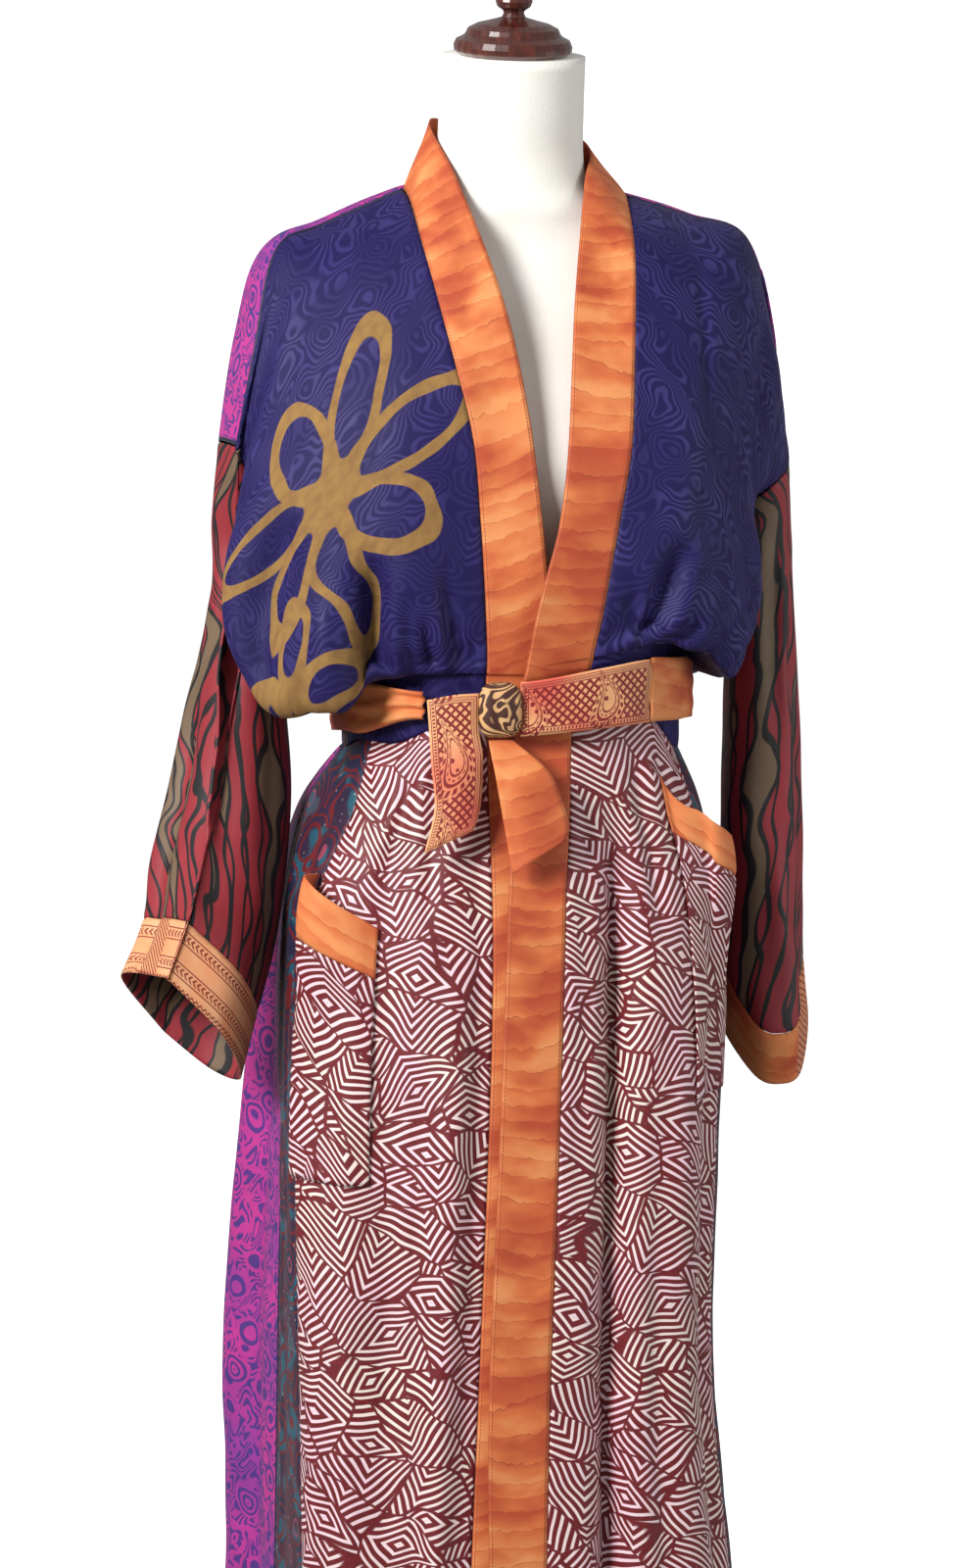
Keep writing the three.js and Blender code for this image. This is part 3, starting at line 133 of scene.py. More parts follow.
# Skirt sections from the waist seam to the hem: the height, then a point for each of those columns.
SKIRT_ROWS = [
    (999.4, [
        (-36, -122), (-84, -109), (-118, -68), (-133, 2), (-118, 52), (-60, 88), (0, 93), (60, 88),
        (118, 52), (133, 2), (118, -68), (76, -113), (29, -127.5),
    ]),
    (960, [
        (-36, -138), (-92, -127), (-136, -94), (-162, -4), (-150, 66), (-80, 110), (0, 116), (80, 110),
        (144, 64), (150, -2), (132, -86), (84, -130), (25, -143.5),
    ]),
    (900, [
        (-35, -148), (-100, -141), (-163, -98), (-178, 0), (-174, 84), (-96, 132), (0, 138), (94, 132),
        (162, 80), (160, 0), (147, -94), (92, -143), (21, -153.5),
    ]),
    (820, [
        (-36, -156), (-104, -151), (-176, -102), (-184, 0), (-190, 94), (-104, 146), (0, 150), (100, 146),
        (170, 90), (163, 0), (153, -100), (96, -152), (18, -161.5),
    ]),
    (700, [
        (-41, -166), (-108, -161), (-183, -110), (-184, 0), (-207, 100), (-110, 158), (0, 160), (104, 158),
        (180, 98), (162, 0), (149, -106), (94, -162), (13, -171.5),
    ]),
    (520, [
        (-50, -178), (-113, -171), (-182, -122), (-188, 4), (-224, 110), (-116, 172), (0, 172), (110, 172),
        (186, 106), (162, 2), (145, -114), (93, -172), (5, -183.5),
    ]),
    (340, [
        (-58, -186), (-117, -179), (-181, -131), (-192, 6), (-224, 113), (-120, 181), (0, 180), (116, 181),
        (192, 110), (169, 4), (161, -120), (100, -180), (1, -191.5),
    ]),
    (158, [
        (-60, -190), (-120, -183), (-183, -135), (-196, 8), (-228, 117), (-124, 187), (0, 186), (120, 187),
        (197, 114), (177, 6), (172, -127), (106, -184), (-1, -195.5),
    ]),
]

# Free edge of each band: stations 0 to 2 follow the nape, 2 to 12 the front, 12 to 19 the skirt.
BAND_RIGHT = [
    (0, 60, 1490), (43, 44, 1490), (62, 10, 1484), (47, -42, 1440), (22, -108, 1352), (6, -136, 1266),
    (-3, -145, 1188), (-8, -144, 1140), (-10, -140, 1104), (-11, -137, 1084), (-11, -134, 1071),
    (-12, -130, 1062), (-12, -125, 1029.7), (-12, -141, 960), (-13, -151, 900), (-12, -159, 820),
    (-7, -169, 700), (2, -181, 520), (10, -189, 340), (12, -193, 158),
]

BAND_LEFT = [
    (0, 60, 1490), (44, 42, 1484), (64, 8, 1466), (52, -38, 1436), (33, -108, 1342), (23, -142, 1240),
    (15, -151, 1183), (4, -152, 1140), (-3, -149, 1108), (-6, -146, 1090), (-8, -144, 1078),
    (-10, -142, 1068), (-18, -133, 1035.7), (-21, -148.5, 960), (-24, -158.5, 900), (-28, -166.5, 820),
    (-34, -176.5, 700), (-43, -188.5, 520), (-44, -196.5, 340), (-46, -200.5, 158),
]

BELT_PLAN = [
    (-84, -125), (-120, -90), (-139, -44), (-142, 2), (-139, 25), (-131, 46), (-117, 67), (-90, 87),
    (-52, 100), (0, 103), (52, 100), (90, 87), (117, 67), (131, 46), (139, 25), (142, 2), (139, -44),
    (121, -90), (90.8, -123.2),
]

# Share of the belt's length, lower edge, upper edge.
BELT_EDGES = [
    (0, 1036, 1057), (0.08, 1020, 1062), (0.2, 1012, 1058), (0.5, 1014, 1058), (0.72, 1018, 1058),
    (0.833, 1022, 1062), (0.889, 1026, 1069), (0.944, 1029, 1077), (1, 1031, 1080),
]

BELT_PRINT = [(90.4, -123.5), (66, -138), (36, -146), (8, -149), (-14, -149.5)]

TAIL_PRINT = [
    [(-45.3, -151, 1058), (-64, -150, 1057), (-84, -146, 1053)],
    [(-45.5, -152, 1030), (-63, -154, 1030), (-83, -151, 1030)],
    [(-43, -156, 1008), (-61, -159, 1006), (-82, -155, 1006)],
    [(-45, -157, 974), (-62, -161, 973), (-80, -158, 973)],
    [(-51, -160, 956), (-68, -163, 949), (-88, -161, 940)],
]

TAIL_PLAIN = [
    [(-20, -150, 1022.4), (-29, -150, 1022.6), (-38, -150, 1022.4)],
    [(4, -163, 1002), (-16, -167, 996), (-36, -163, 1004)],
    [(14, -164, 982), (-12, -169, 976), (-32, -165, 980)],
    [(21, -165, 956), (-6, -170, 946), (-27, -167, 950)],
    [(10, -168, 944), (-10, -172, 934), (-24, -170, 930)],
    [(-10, -170, 934), (-16, -172, 929), (-22, -171, 925)],
]

# Folds of the cloth: start and end as column and row of its table, width and depth. Then, where it isn't
# FADING_ENDS, the share of the length that fades at each end, and True where the far end stays open.
FRONT_RIGHT_FOLDS = [
    ((2.6, 3.4), (2.1, 6.4), 20, -15, 0.3),
    ((1.4, 2.1), (1.28, 5.9), 12, -18, 0.3),
    ((0.75, 2.2), (0.8, 4.6), 8, -4, 0.3),
    ((1.78, 2.2), (1.66, 5.4), 12, 8, 0.3),
]

FRONT_LEFT_FOLDS = [
    ((2.75, 5.6), (2.55, 9.4), 11, -8),
    ((1.6, 2.3), (2.4, 5.4), 15, -10, 0.3),
    ((0.65, 2.4), (1.15, 5.7), 12, -14, 0.3),
]

BACK_FOLDS = [
    ((2.4, 6.4), (2.8, 9), 14, -7, 0.3),
    ((4.4, 6), (4.7, 9.2), 12, -6, 0.3),
    ((7.4, 6.2), (7.1, 9.2), 13, -7, 0.3),
    ((9.6, 5.8), (9.2, 9), 14, -6, 0.3),
]

SKIRT_FOLDS = [
    ((0.38, 2.2), (0.5, 7), 13, 9, 0.35, True),
    ((1.25, 0.6), (1, 7), 15, -7, 0.3, True),
    ((1.62, 3.6), (1.85, 7), 14, 8, 0.4, True),
    ((11.42, 0.4), (11.5, 7), 14, -18, 0.35, True),
    ((10.75, 2.4), (10.65, 7), 18, 7, 0.4, True),
    ((3.5, 1), (3.45, 7), 20, -13, 0.35, True),
    ((4.6, 0.8), (4.7, 7), 22, -14, 0.35, True),
    ((5.5, 0.8), (5.4, 7), 22, -12, 0.35, True),
    ((6.6, 0.8), (6.5, 7), 22, -14, 0.35, True),
    ((7.6, 0.8), (7.7, 7), 22, -13, 0.35, True),
    ((8.5, 1.2), (8.5, 7), 18, -10, 0.35, True),
]

SLEEVE_FOLDS = {
    "right": [
        ((4.7, 2.6), (4.7, 6.6), 11, -11, 0.3, True),
        ((2.2, 1.6), (3.2, 4), 13, -5),
        ((0.9, 2), (1, 5), 14, -5),
    ],
    "left": [
        ((3.3, 1.8), (3.5, 6), 12, -7, 0.35, True),
        ((1.6, 1), (2.2, 3.4), 12, -5),
    ],
}

# Sections of the form: height, half width, front, back.
TORSO_ROWS = [
    (780, 138, -104, 108),
    (800, 146, -110, 114),
    (850, 147, -112, 116),
    (900, 143, -108, 112),
    (950, 128, -102, 98),
    (1000, 114, -98, 84),
    (1040, 110, -96, 80),
    (1090, 118, -102, 84),
    (1140, 132, -112, 90),
    (1190, 146, -126, 94),
    (1230, 152, -128, 97),
    (1280, 155, -113, 98),
    (1325, 162, -92, 96),
    (1360, 168, -68, 82),
    (1385, 155, -50, 68),
    (1402, 116, -46, 62),
    (1418, 84, -48, 61),
    (1436, 62, -48, 58),
    (1458, 57.2, -49, 53),
    (1495, 56.2, -56, 46),
    (1535, 56.2, -63, 38),
]
TORSO_POWER = 0.88
ROUND_FROM_Z = 1436
ROUND_RISE = 40
NECK_LEAN = 0.19
LEAN_START = 1420
NECK_TOP_Z = 1535

# Finer creases than the solids have, in the same form as the folds.
FRONT_RIGHT_CREASES = [
    ((0.35, 2.1), (0.5, 5.6), 7, -8),
    ((0.56, 1.9), (0.66, 4.8), 6, 4),
    ((0.76, 2), (0.78, 4.6), 5, -5.5),
    ((0.14, 2), (0.2, 4.2), 5, -4, 0.4),
    ((1.02, 2), (0.98, 5), 6, -7, 0.3),
    ((1.36, 2.2), (1.28, 5.7), 8, -11, 0.3),
    ((2.3, 2.6), (1.9, 4.4), 6, -4),
    ((3, 2.6), (3.2, 5.4), 9, -5),
    ((3.4, 5.4), (2.2, 7.6), 10, -3, 0.4),
    ((3.7, 6.6), (2.6, 9), 9, -3, 0.4),
    ((1.6, 6.2), (0.6, 8.6), 14, -2, 0.45),
    ((2.9, 7.4), (1.5, 9.4), 8, 2, 0.45),
    ((0.3, 1), (0.35, 2), 4, -2, 0.4),
    ((1.1, 1), (1.2, 2), 4, -2, 0.4),
    ((1.9, 1), (1.8, 2.2), 5, -2.5, 0.4),
]
FRONT_LEFT_CREASES = [
    ((0.45, 2.3), (0.42, 5), 7, -6.5),
    ((0.72, 1.9), (0.8, 4), 5, -5),
    ((0.2, 2), (0.22, 4.4), 5, -3.5, 0.4),
    ((1.1, 2.2), (1.5, 4.4), 7, -7, 0.3),
    ((1.5, 3), (2.9, 6.2), 8, 6, 0.4),
    ((2.3, 2.5), (3.3, 5), 8, -7),
    ((3.1, 2.6), (3.4, 4.6), 7, -4, 0.4),
    ((3.1, 5.8), (3.3, 9), 7, -4, 0.4),
    ((2.2, 5.8), (2.1, 9.2), 9, -3, 0.45),
    ((1.4, 5), (1.5, 8.6), 12, -2.5, 0.45),
    ((3.6, 6.4), (2.4, 7.6), 8, -3, 0.4),
    ((0.9, 1.1), (1, 2.1), 4, -2, 0.4),
    ((1.7, 1), (1.7, 2.1), 5, -2.5, 0.4),
    ((0.95, 3), (1.45, 5.9), 8, 4),
    ((1.3, 7.2), (1.2, 9.2), 5, -3, 0.4),
    ((2.9, 4.4), (2.2, 5.2), 6, -4, 0.4),
]
SKIRT_CREASES = [
    ((11.44, 0.6), (11.52, 7), 6, -9, 0.3, True),
    ((0.7, 0.05), (0.75, 2.4), 7, -5, 0.3),
    ((1.1, 0.05), (1.3, 2), 7, -4.5, 0.3),
    ((1.5, 0.05), (1.55, 1.6), 6, -3),
    ((0.15, 0.3), (0.12, 6), 7, -2.5),
    ((0.85, 2.6), (0.72, 7), 9, -4, 0.4, True),
    ((1.42, 2.2), (1.5, 7), 9, 4, 0.4, True),
    ((11.75, 0.05), (11.8, 5), 8, -3),
    ((11, 0.05), (10.95, 2.6), 8, -6, 0.3),
    ((10.6, 0.05), (10.5, 1.6), 7, -3.5),
    ((10.3, 0.2), (10.3, 7), 9, -5, 0.35, True),
    ((11.05, 3.4), (11, 7), 9, -4, 0.4, True),
    ((2.3, 0.1), (2.4, 5.6), 8, -5),
    ((2.7, 0.4), (2.65, 7), 8, 4, 0.35, True),
    ((9.5, 0.2), (9.6, 7), 8, -5, 0.35, True),
    ((4.1, 0.1), (4.2, 5), 9, -5),
    ((5.1, 0.1), (5, 5.4), 9, -4),
    ((6.1, 0.1), (6, 5), 9, -5),
    ((7.1, 0.1), (7.2, 5.4), 9, -4),
    ((8.1, 0.1), (8, 5), 9, -5),
]
SLEEVE_CREASES = {
    "right": [
        ((4.2, 0.6), (4.5, 2.8), 8, -5),
        ((5.4, 0.8), (5, 3.4), 8, -4),
        ((3.2, 2), (3.9, 3.3), 7, -4, 0.4),
        ((2.6, 3.4), (3.6, 4.6), 9, -4, 0.4),
        ((6.2, 2.2), (6, 5.4), 10, -5, 0.4),
        ((1.7, 3), (1.9, 5.8), 9, -3, 0.4),
        ((8.2, 1.2), (8, 5), 9, -4, 0.4),
    ],
    "left": [
        ((2.6, 0.5), (2.4, 2.6), 8, -4),
        ((3.8, 1.2), (2.9, 2.9), 7, -4),
        ((4.4, 2.2), (4.1, 5.6), 9, -5, 0.4),
        ((2.2, 3.4), (3, 5.2), 8, -4, 0.4),
        ((1.2, 2.6), (1.5, 5.8), 9, -3, 0.4),
        ((6.4, 1), (6.6, 5), 10, -5, 0.4),
    ],
}

# Curves and surfaces. In them u counts columns and v counts rows, and both may be arrays.

UP = np.array([0, 0, 1])


def spline_weights(t):
    return [
        (-t + 2 * t**2 - t**3) / 2,
        (2 - 5 * t**2 + 3 * t**3) / 2,
        (t + 4 * t**2 - 3 * t**3) / 2,
        (t**3 - t**2) / 2,
    ]


def with_ghosts(points):
    """Rows of points with one more at each end, in line with the last two."""
    return np.concatenate([2 * points[:1] - points[1:2], points, 2 * points[-1:] - points[-2:-1]])


def loft(rows, closed=False):
    """A smooth surface through rows of points."""
    table = np.asarray(rows, float)
    height, width = table.shape[:2]
    table = with_ghosts(table)
    if closed:
        table = np.concatenate([table[:, -1:], table, table[:, :2]], axis=1)
    else:
        table = with_ghosts(table.swapaxes(0, 1)).swapaxes(0, 1)
    last_column = width - 1 if closed else width - 2

    def surface(u, v):
        u, v = np.broadcast_arrays(np.asarray(u, float), np.asarray(v, float))
        i = np.clip(np.floor(u), 0, last_column).astype(int)
        j = np.clip(np.floor(v), 0, height - 2).astype(int)
        across, down = spline_weights(u - i), spline_weights(v - j)
        place = 0
        for a in range(4):
            for b in range(4):
                place = place + (down[a] * across[b])[..., None] * table[j + a, i + b]
        return place

    return surface


def curve(points, closed=False):
    line = loft([points, points], closed)
    return lambda t: line(t, 0)


def unit(vectors):
    return vectors / np.maximum(np.linalg.norm(vectors, axis=-1, keepdims=True), 1e-9)


def smooth(t):
    t = np.clip(t, 0, 1)
    return t * t * (3 - 2 * t)


def slopes(surface, u, v, step=0.02):
    across = surface(u + step, v) - surface(u - step, v)
    down = surface(u, v + step) - surface(u, v - step)
    return unit(np.cross(across, down))


def facing(surface, last_u, last_v, closed=False):
    """+1 where a surface's slopes point away from the body or from the middle of its own tube."""
    u = np.arange(0.25, last_u, 0.5)[None, :]
    v = np.arange(0.5, last_v, 1)[:, None]
    place = surface(u, v)
    centre = place.mean(axis=1, keepdims=True) if closed else place * (0, 0, 1)
    return np.sign((slopes(surface, u, v) * unit(place - centre)).sum())


def folded(surface, folds, side):
    """The surface with folds: lines in its own columns and rows, pressed in or drawn out along its slopes."""
    steps = np.linspace(0, 1, 15)
    lines = [surface(a[0] + (b[0] - a[0]) * steps, a[1] + (b[1] - a[1]) * steps) for a, b, *_ in folds]

    def draped(u, v):
        place = surface(u, v)
        shift = np.zeros(place.shape[:-1])
        for line, (_, _, width, depth, *rest) in zip(lines, folds):
            ends = rest[0] if rest else FADING_ENDS
            is_open = True in rest[1:]
            reach = 3 * width
            low, high = line.min(axis=0) - reach, line.max(axis=0) + reach
            near = np.all((place > low) & (place < high), axis=-1)
            if not near.any():
                continue
            start, run = line[:-1], np.diff(line, axis=0)
            away = place[near][:, None, :] - start
            t = np.clip((away * run).sum(-1) / (run * run).sum(-1), 0, 1)
            far = np.linalg.norm(away - t[..., None] * run, axis=-1)
            nearest = far.argmin(axis=-1)
            rows = np.arange(len(nearest))
            where = (nearest + t[rows, nearest]) / len(run)
            fade = smooth(where / ends) * (1 if is_open else smooth((1 - where) / ends))
            shift[near] += depth * fade * np.exp(-((far[rows, nearest] / width) ** 2))
        return place + slopes(surface, u, v) * (shift * side)[..., None]

    return draped


# Surfaces of the garment

FRONTS = {"right": RIGHT_FRONT, "left": LEFT_FRONT}
SIDE_ROWS = 6
FRONT_LAST = len(RIGHT_FRONT) - 1
BACK_LAST = len(BACK_ROWS)
BACK_MIDDLE = 6
BACK_COLUMNS = 12
SEAM_COLUMN = 4
LEFT_BAG_IN = 18
LEFT_BAG_LIFT = 14
LEFT_BAG_X = 110
LEFT_BAG_WIDTH = 90
LEFT_BAG_TOP_Z = 1200
LEFT_BAG_FOLD_Z = 1100
WAIST_Z = 1000


def outward(half, points):
    return np.asarray(points, float) * (SIGN[half], 1, 1)


def back_row(half, row):
    """The points of one back row, with the smaller left bag drawn in."""
    points = outward(half, row)
    if half == "left":
        x, z = points[:, 0], points[:, 2]
        share = smooth((x - LEFT_BAG_X) / LEFT_BAG_WIDTH) * (z < LEFT_BAG_TOP_Z)
        lift = LEFT_BAG_LIFT * share * (z < LEFT_BAG_FOLD_Z) * (z > WAIST_Z)
        points = points + np.stack([-LEFT_BAG_IN * share, 0 * x, lift], -1)
    return points


def seams(half, rows):
    return outward(half, [row[SEAM_COLUMN] for row in rows])


def side_seam(half):
    """Points of the seam under the arm, from the waist up."""
    return seams(half, FRONTS[half][:SIDE_ROWS + 1])


def armhole(half):
    return np.concatenate([seams(half, FRONTS[half][SIDE_ROWS:]), outward(half, ARMHOLE_BACK[half])])


def back_half(half):
    top = outward(half, [*NAPE, *FRONTS[half][-1]])
    sides = np.concatenate([outward(half, ARMHOLE_BACK[half]), side_seam(half)[::-1]])
    return [top, *[np.vstack([back_row(half, row), sides[j]]) for j, row in enumerate(BACK_ROWS)]]


def outer_edge(half, v):
    """The outer edge of a front by its row: the side seam up to the underarm, then round the armhole."""
    v = np.asarray(v, float)
    side = curve(side_seam(half))(np.minimum(v, SIDE_ROWS))
    hole = curve(armhole(half), closed=True)(np.maximum(v - SIDE_ROWS, 0))
    return np.where((v <= SIDE_ROWS)[..., None], side, hole)


def seamed_front(half):
    """A front whose outer edge runs along the seams that it shares."""
    back = back_half(half)
    rows = [outward(half, row) for row in FRONTS[half]] + [back[1][2:]]
    wide = []
    for j, row in enumerate(rows):
        beside = back[-1 - j][5] if j < SIDE_ROWS else 2 * row[4] - row[3]
        wide.append(np.vstack([row, beside]))
    plain = loft(wide)

    def surface(u, v):
        row = np.clip(v, 0, FRONT_LAST)
        share = smooth(np.asarray(u, float) - SEAM_COLUMN + 1)
        return plain(u, v) + share[..., None] * (outer_edge(half, row) - plain(SEAM_COLUMN, row))

    return surface


def back_with_spares():
    """The back with a spare row above and a spare column at each side, so that it joins on smoothly."""
    right, left = back_half("right"), back_half("left")
    rows = [np.vstack([r[:0:-1], l]) for r, l in zip(right, left)]
    middle = [2 * rows[0][i] - rows[1][i] for i in (5, 6, 7)]
    spare = [outward("right", RIGHT_FRONT[-2])[::-1], middle, outward("left", LEFT_FRONT[-2])]
    wide = []
    for j, row in enumerate([np.vstack(spare), *rows]):
        up = len(rows) - j
        ends = [2 * row[0] - row[1], 2 * row[-1] - row[-2]]
        if up < SIDE_ROWS:
            ends = [outward("right", RIGHT_FRONT[up][3]), outward("left", LEFT_FRONT[up][3])]
        wide.append(np.vstack([ends[0], row, ends[1]]))
    table = loft(wide)
    return lambda u, v: table(np.asarray(u, float) + 1, np.asarray(v, float) + 1)


def seamed_back(fronts):
    """The back with its shoulder and side edges brought onto the seams that it shares."""
    plain = back_with_spares()

    def shoulder(u):
        right = fronts["right"](np.clip(SEAM_COLUMN - u, 0, SEAM_COLUMN), FRONT_LAST)
        left = fronts["left"](np.clip(u - BACK_COLUMNS + SEAM_COLUMN, 0, SEAM_COLUMN), FRONT_LAST)
        place = np.where((u <= SEAM_COLUMN)[..., None], right, plain(u, 0))
        return np.where((u >= BACK_COLUMNS - SEAM_COLUMN)[..., None], left, place)

    def surface(u, v):
        u, v = np.asarray(u, float), np.asarray(v, float)
        column, row = np.clip(u, 0, BACK_COLUMNS), np.clip(v, 0, BACK_LAST)
        at_top = (1 - smooth(v))[..., None]
        place = plain(u, v) + at_top * (shoulder(column) - plain(column, 0))
        edge_row = np.where(row <= BACK_LAST - SIDE_ROWS, FRONT_LAST + row, BACK_LAST - row)
        for half, edge in (("right", np.array(0.0)), ("left", np.array(float(BACK_COLUMNS)))):
            at_side = (1 - smooth(np.abs(u - edge)))[..., None]
            shift = outer_edge(half, edge_row) - plain(edge, row)
            shift = shift - at_top * (shoulder(edge) - plain(edge, 0))
            place = place + at_side * shift
        return place

    return surface


def sleeve_surface(half):
    """Rings from the armhole to the wrist, with one point for each point of the armhole."""
    top = armhole(half)
    away = top - top.mean(axis=0)
    turns = np.arctan2(away[:, 1], SIGN[half] * away[:, 0])
    rings = []
    for x, y, z, half_x, half_y, tilt_x, tilt_y in SLEEVES[half]:
        across, deep = half_x * np.cos(turns), half_y * np.sin(turns)
        rings.append(outward(half, np.stack([x + across, y + deep, z + tilt_x * across + tilt_y * deep], -1)))
    return loft([top, *rings], closed=True)


# How far the waist seam is drawn up under the belt on either side, and where across the front it rises.
LEFT_LIFT = 36
LEFT_LIFT_X = 130
RIGHT_LIFT = 13
BAND_LIFT = 17
BAND_LIFT_X = -108
LIFT_WIDTH = 44
LIFT_DEPTH = 60
SKIRT_TUCK = 1.4


def seam_lift(place):
    """How far the waist seam is drawn up in front, which is the same for both its edges."""
    x, y = place[..., 0], place[..., 1]
    left = LEFT_LIFT * smooth((LEFT_LIFT_X - x) / LIFT_WIDTH)
    right = RIGHT_LIFT + BAND_LIFT * smooth((x - BAND_LIFT_X) / LIFT_WIDTH)
    return np.where(x > 0, left, right) * smooth(-y / LIFT_DEPTH)


def drawn_up(surface, tuck=0):
    """A panel with its waist edge on that seam or tucked in past it, and unchanged from its next row on."""
    def drawn(u, v):
        share = 1 - np.clip(v, 0, 1)
        rise = (seam_lift(surface(u, v * 0)) + tuck) * share
        return surface(u, v) + rise[..., None] * UP

    return drawn


def draped(plain, folds, spans, closed=False):
    return folded(plain, folds, facing(plain, *spans, closed))


front_folds = {
    "right": FRONT_RIGHT_FOLDS + FRONT_RIGHT_CREASES,
    "left": FRONT_LEFT_FOLDS + FRONT_LEFT_CREASES,
}
fronts = {
    half: draped(drawn_up(seamed_front(half)), front_folds[half], (SEAM_COLUMN, FRONT_LAST)) for half in SIGN
}
back = draped(seamed_back(fronts), BACK_FOLDS, (BACK_COLUMNS, BACK_LAST))
RING_POINTS = len(armhole("right"))
SLEEVE_ROWS = len(SLEEVES["right"]) - 1
sleeve_folds = {half: SLEEVE_FOLDS[half] + SLEEVE_CREASES[half] for half in SIGN}
sleeves = {
    half: draped(sleeve_surface(half), sleeve_folds[half], (RING_POINTS, SLEEVE_ROWS), True) for half in SIGN
}
skirt_plain = drawn_up(loft([[(x, y, z) for x, y in row] for z, row in SKIRT_ROWS]), SKIRT_TUCK)
SKIRT_LAST = len(SKIRT_ROWS) - 1
SKIRT_END = len(SKIRT_COLUMNS) - 1
skirt_side = facing(skirt_plain, SKIRT_END, SKIRT_LAST)
skirt = folded(skirt_plain, SKIRT_FOLDS + SKIRT_CREASES, skirt_side)

BAND_NAPE = 2
BAND_WAIST = 12


def band_surface(half, edge):
    """A strip from the edge that it is sewn to, out to its own free edge."""
    free = curve([outward(half, edge[1]) * (-1, 1, 1), *outward(half, edge)])
    skirt_column = 0 if half == "right" else SKIRT_END

    def surface(u, t):
        t = np.asarray(t, float)
        nape = back(BACK_MIDDLE + SIGN[half] * np.clip(t, -1, BAND_NAPE), np.array(0.0))
        front = fronts[half](np.array(0.0), np.clip(BAND_WAIST - t, 0, FRONT_LAST))
        low = skirt(np.array(float(skirt_column)), np.clip(t - BAND_WAIST, 0, SKIRT_LAST))
        seam = np.where((t < BAND_NAPE)[..., None], nape, np.where((t <= BAND_WAIST)[..., None], front, low))
        share = np.asarray(u, float)[..., None]
        return seam * (1 - share) + free(t + 1) * share

    return surface


# Columns of the skirt at the inner and outer side. Rows of the mouth at both, of the band's seam and of the
# foot. How far the mouth gapes.
POCKETS = {
    "right": {"inner": 1.28, "outer": 1.93, "mouth": (2.3, 1.85), "band": 2.78, "foot": 4.1, "gape": 20},
    "left": {"inner": 10.62, "outer": 10.06, "mouth": (0.65, 1.5), "band": 1.27, "foot": 3.7, "gape": 22},
}
POCKET_LIFT = 2.6
POCKET_HALF = 0.85
POCKET_RETURN = 0.18
POCKET_CLOSED = 0.75


def pocket_surface(pocket):
    """A patch moved out from the skirt's own points, gaping at its outer side."""
    def surface(s, t):
        u = pocket["inner"] + (pocket["outer"] - pocket["inner"]) * s
        mouth = pocket["mouth"][0] + (pocket["mouth"][1] - pocket["mouth"][0]) * s
        v = mouth + (pocket["foot"] - mouth) * t
        across = smooth(s / POCKET_HALF) * (1 - smooth((s - 1) / POCKET_RETURN))
        lift = POCKET_LIFT + pocket["gape"] * across * (1 - smooth(t / POCKET_CLOSED))
        return skirt(u, v) + slopes(skirt, u, v) * (lift * skirt_side)[..., None]

    return surface


def edge_heights(share, edges):
    """Lower and upper heights along the belt, eased from one station to the next."""
    stations = np.array(edges, float)
    share = np.clip(share, 0, 1)
    k = np.clip(np.searchsorted(stations[:, 0], share, side="left"), 1, len(stations) - 1)
    t = smooth((share - stations[k - 1, 0]) / (stations[k, 0] - stations[k - 1, 0]))[..., None]
    return stations[k - 1, 1:] * (1 - t) + stations[k, 1:] * t


def belt_surface(plan, edges):
    """An upright strip along a plan, between a lower and an upper edge."""
    line = curve([(x, y, 0) for x, y in plan])

    def surface(u, v):
        low_high = edge_heights(u / (len(plan) - 1), edges)
        height = low_high[..., 1] + (low_high[..., 0] - low_high[..., 1]) * v
        return line(u) + height[..., None] * UP

    return surface


# Cloth pieces

def arc(grid, axis):
    """Distance along the rows or columns of a grid of points, from its first."""
    steps = np.linalg.norm(np.diff(grid, axis=axis), axis=-1)
    start = np.zeros_like(np.take(steps, [0], axis=axis))
    return np.concatenate([start, np.cumsum(steps, axis=axis)], axis=axis)


def grid_normals(grid, closed):
    wide = np.concatenate([grid[:, -1:], grid, grid[:, :1]], axis=1) if closed else grid
    across = np.gradient(wide, axis=1)
    across = across[:, 1:-1] if closed else across
    return unit(np.cross(across, np.gradient(grid, axis=0)))


WAVES = 9
WAVE_LENGTHS = (34, 95)
RIPPLE_FADE = 12
PUCKER_LENGTH = 11


def ripple(across, along, height, seed):
    """Slight unevenness of hanging cloth: crossed waves."""
    rng = np.random.default_rng(seed)
    total = np.zeros_like(across)
    for _ in range(WAVES):
        length = rng.uniform(*WAVE_LENGTHS)
        turn = rng.normal(0, 0.5)
        phase = rng.uniform(0, 6.28)
        total += np.sin((across * math.cos(turn) + along * math.sin(turn)) * 2 * math.pi / length + phase)
    return total * height / WAVES


def spaced(first, last, length):
    """Even stations from first to last, so that cells are about GRID_STEP long."""
    return np.linspace(first, last, max(3, int(round(length / GRID_STEP)) + 1))


def mesh_object(name, points, faces, material):
    mesh = bpy.data.meshes.new(name)
    mesh.from_pydata([tuple(p) for p in points * MM], [], faces)
    mesh.polygons.foreach_set("use_smooth", [True] * len(mesh.polygons))
    mesh.materials.append(material)
    mesh.validate()
    made = bpy.data.objects.new(name, mesh)
    bpy.context.scene.collection.objects.link(made)
    return made


def put_uv(made, name, pairs):
    """A UV layer in metres from one pair for each vertex."""
    mesh = made.data
    corners = np.empty(len(mesh.loops), int)
    mesh.loops.foreach_get("vertex_index", corners)
    layer = mesh.uv_layers.new(name=name)
    layer.data.foreach_set("uv", (pairs[corners] * MM).ravel())


def quads_of(index, closed=False):
    """The corners of each cell in a grid of vertex numbers, round the back too where it is closed."""
    right = np.roll(index, -1, axis=1) if closed else index[:, 1:]
    left = index if closed else index[:, :-1]
    return np.stack([left[:-1], right[:-1], right[1:], left[1:]], -1)


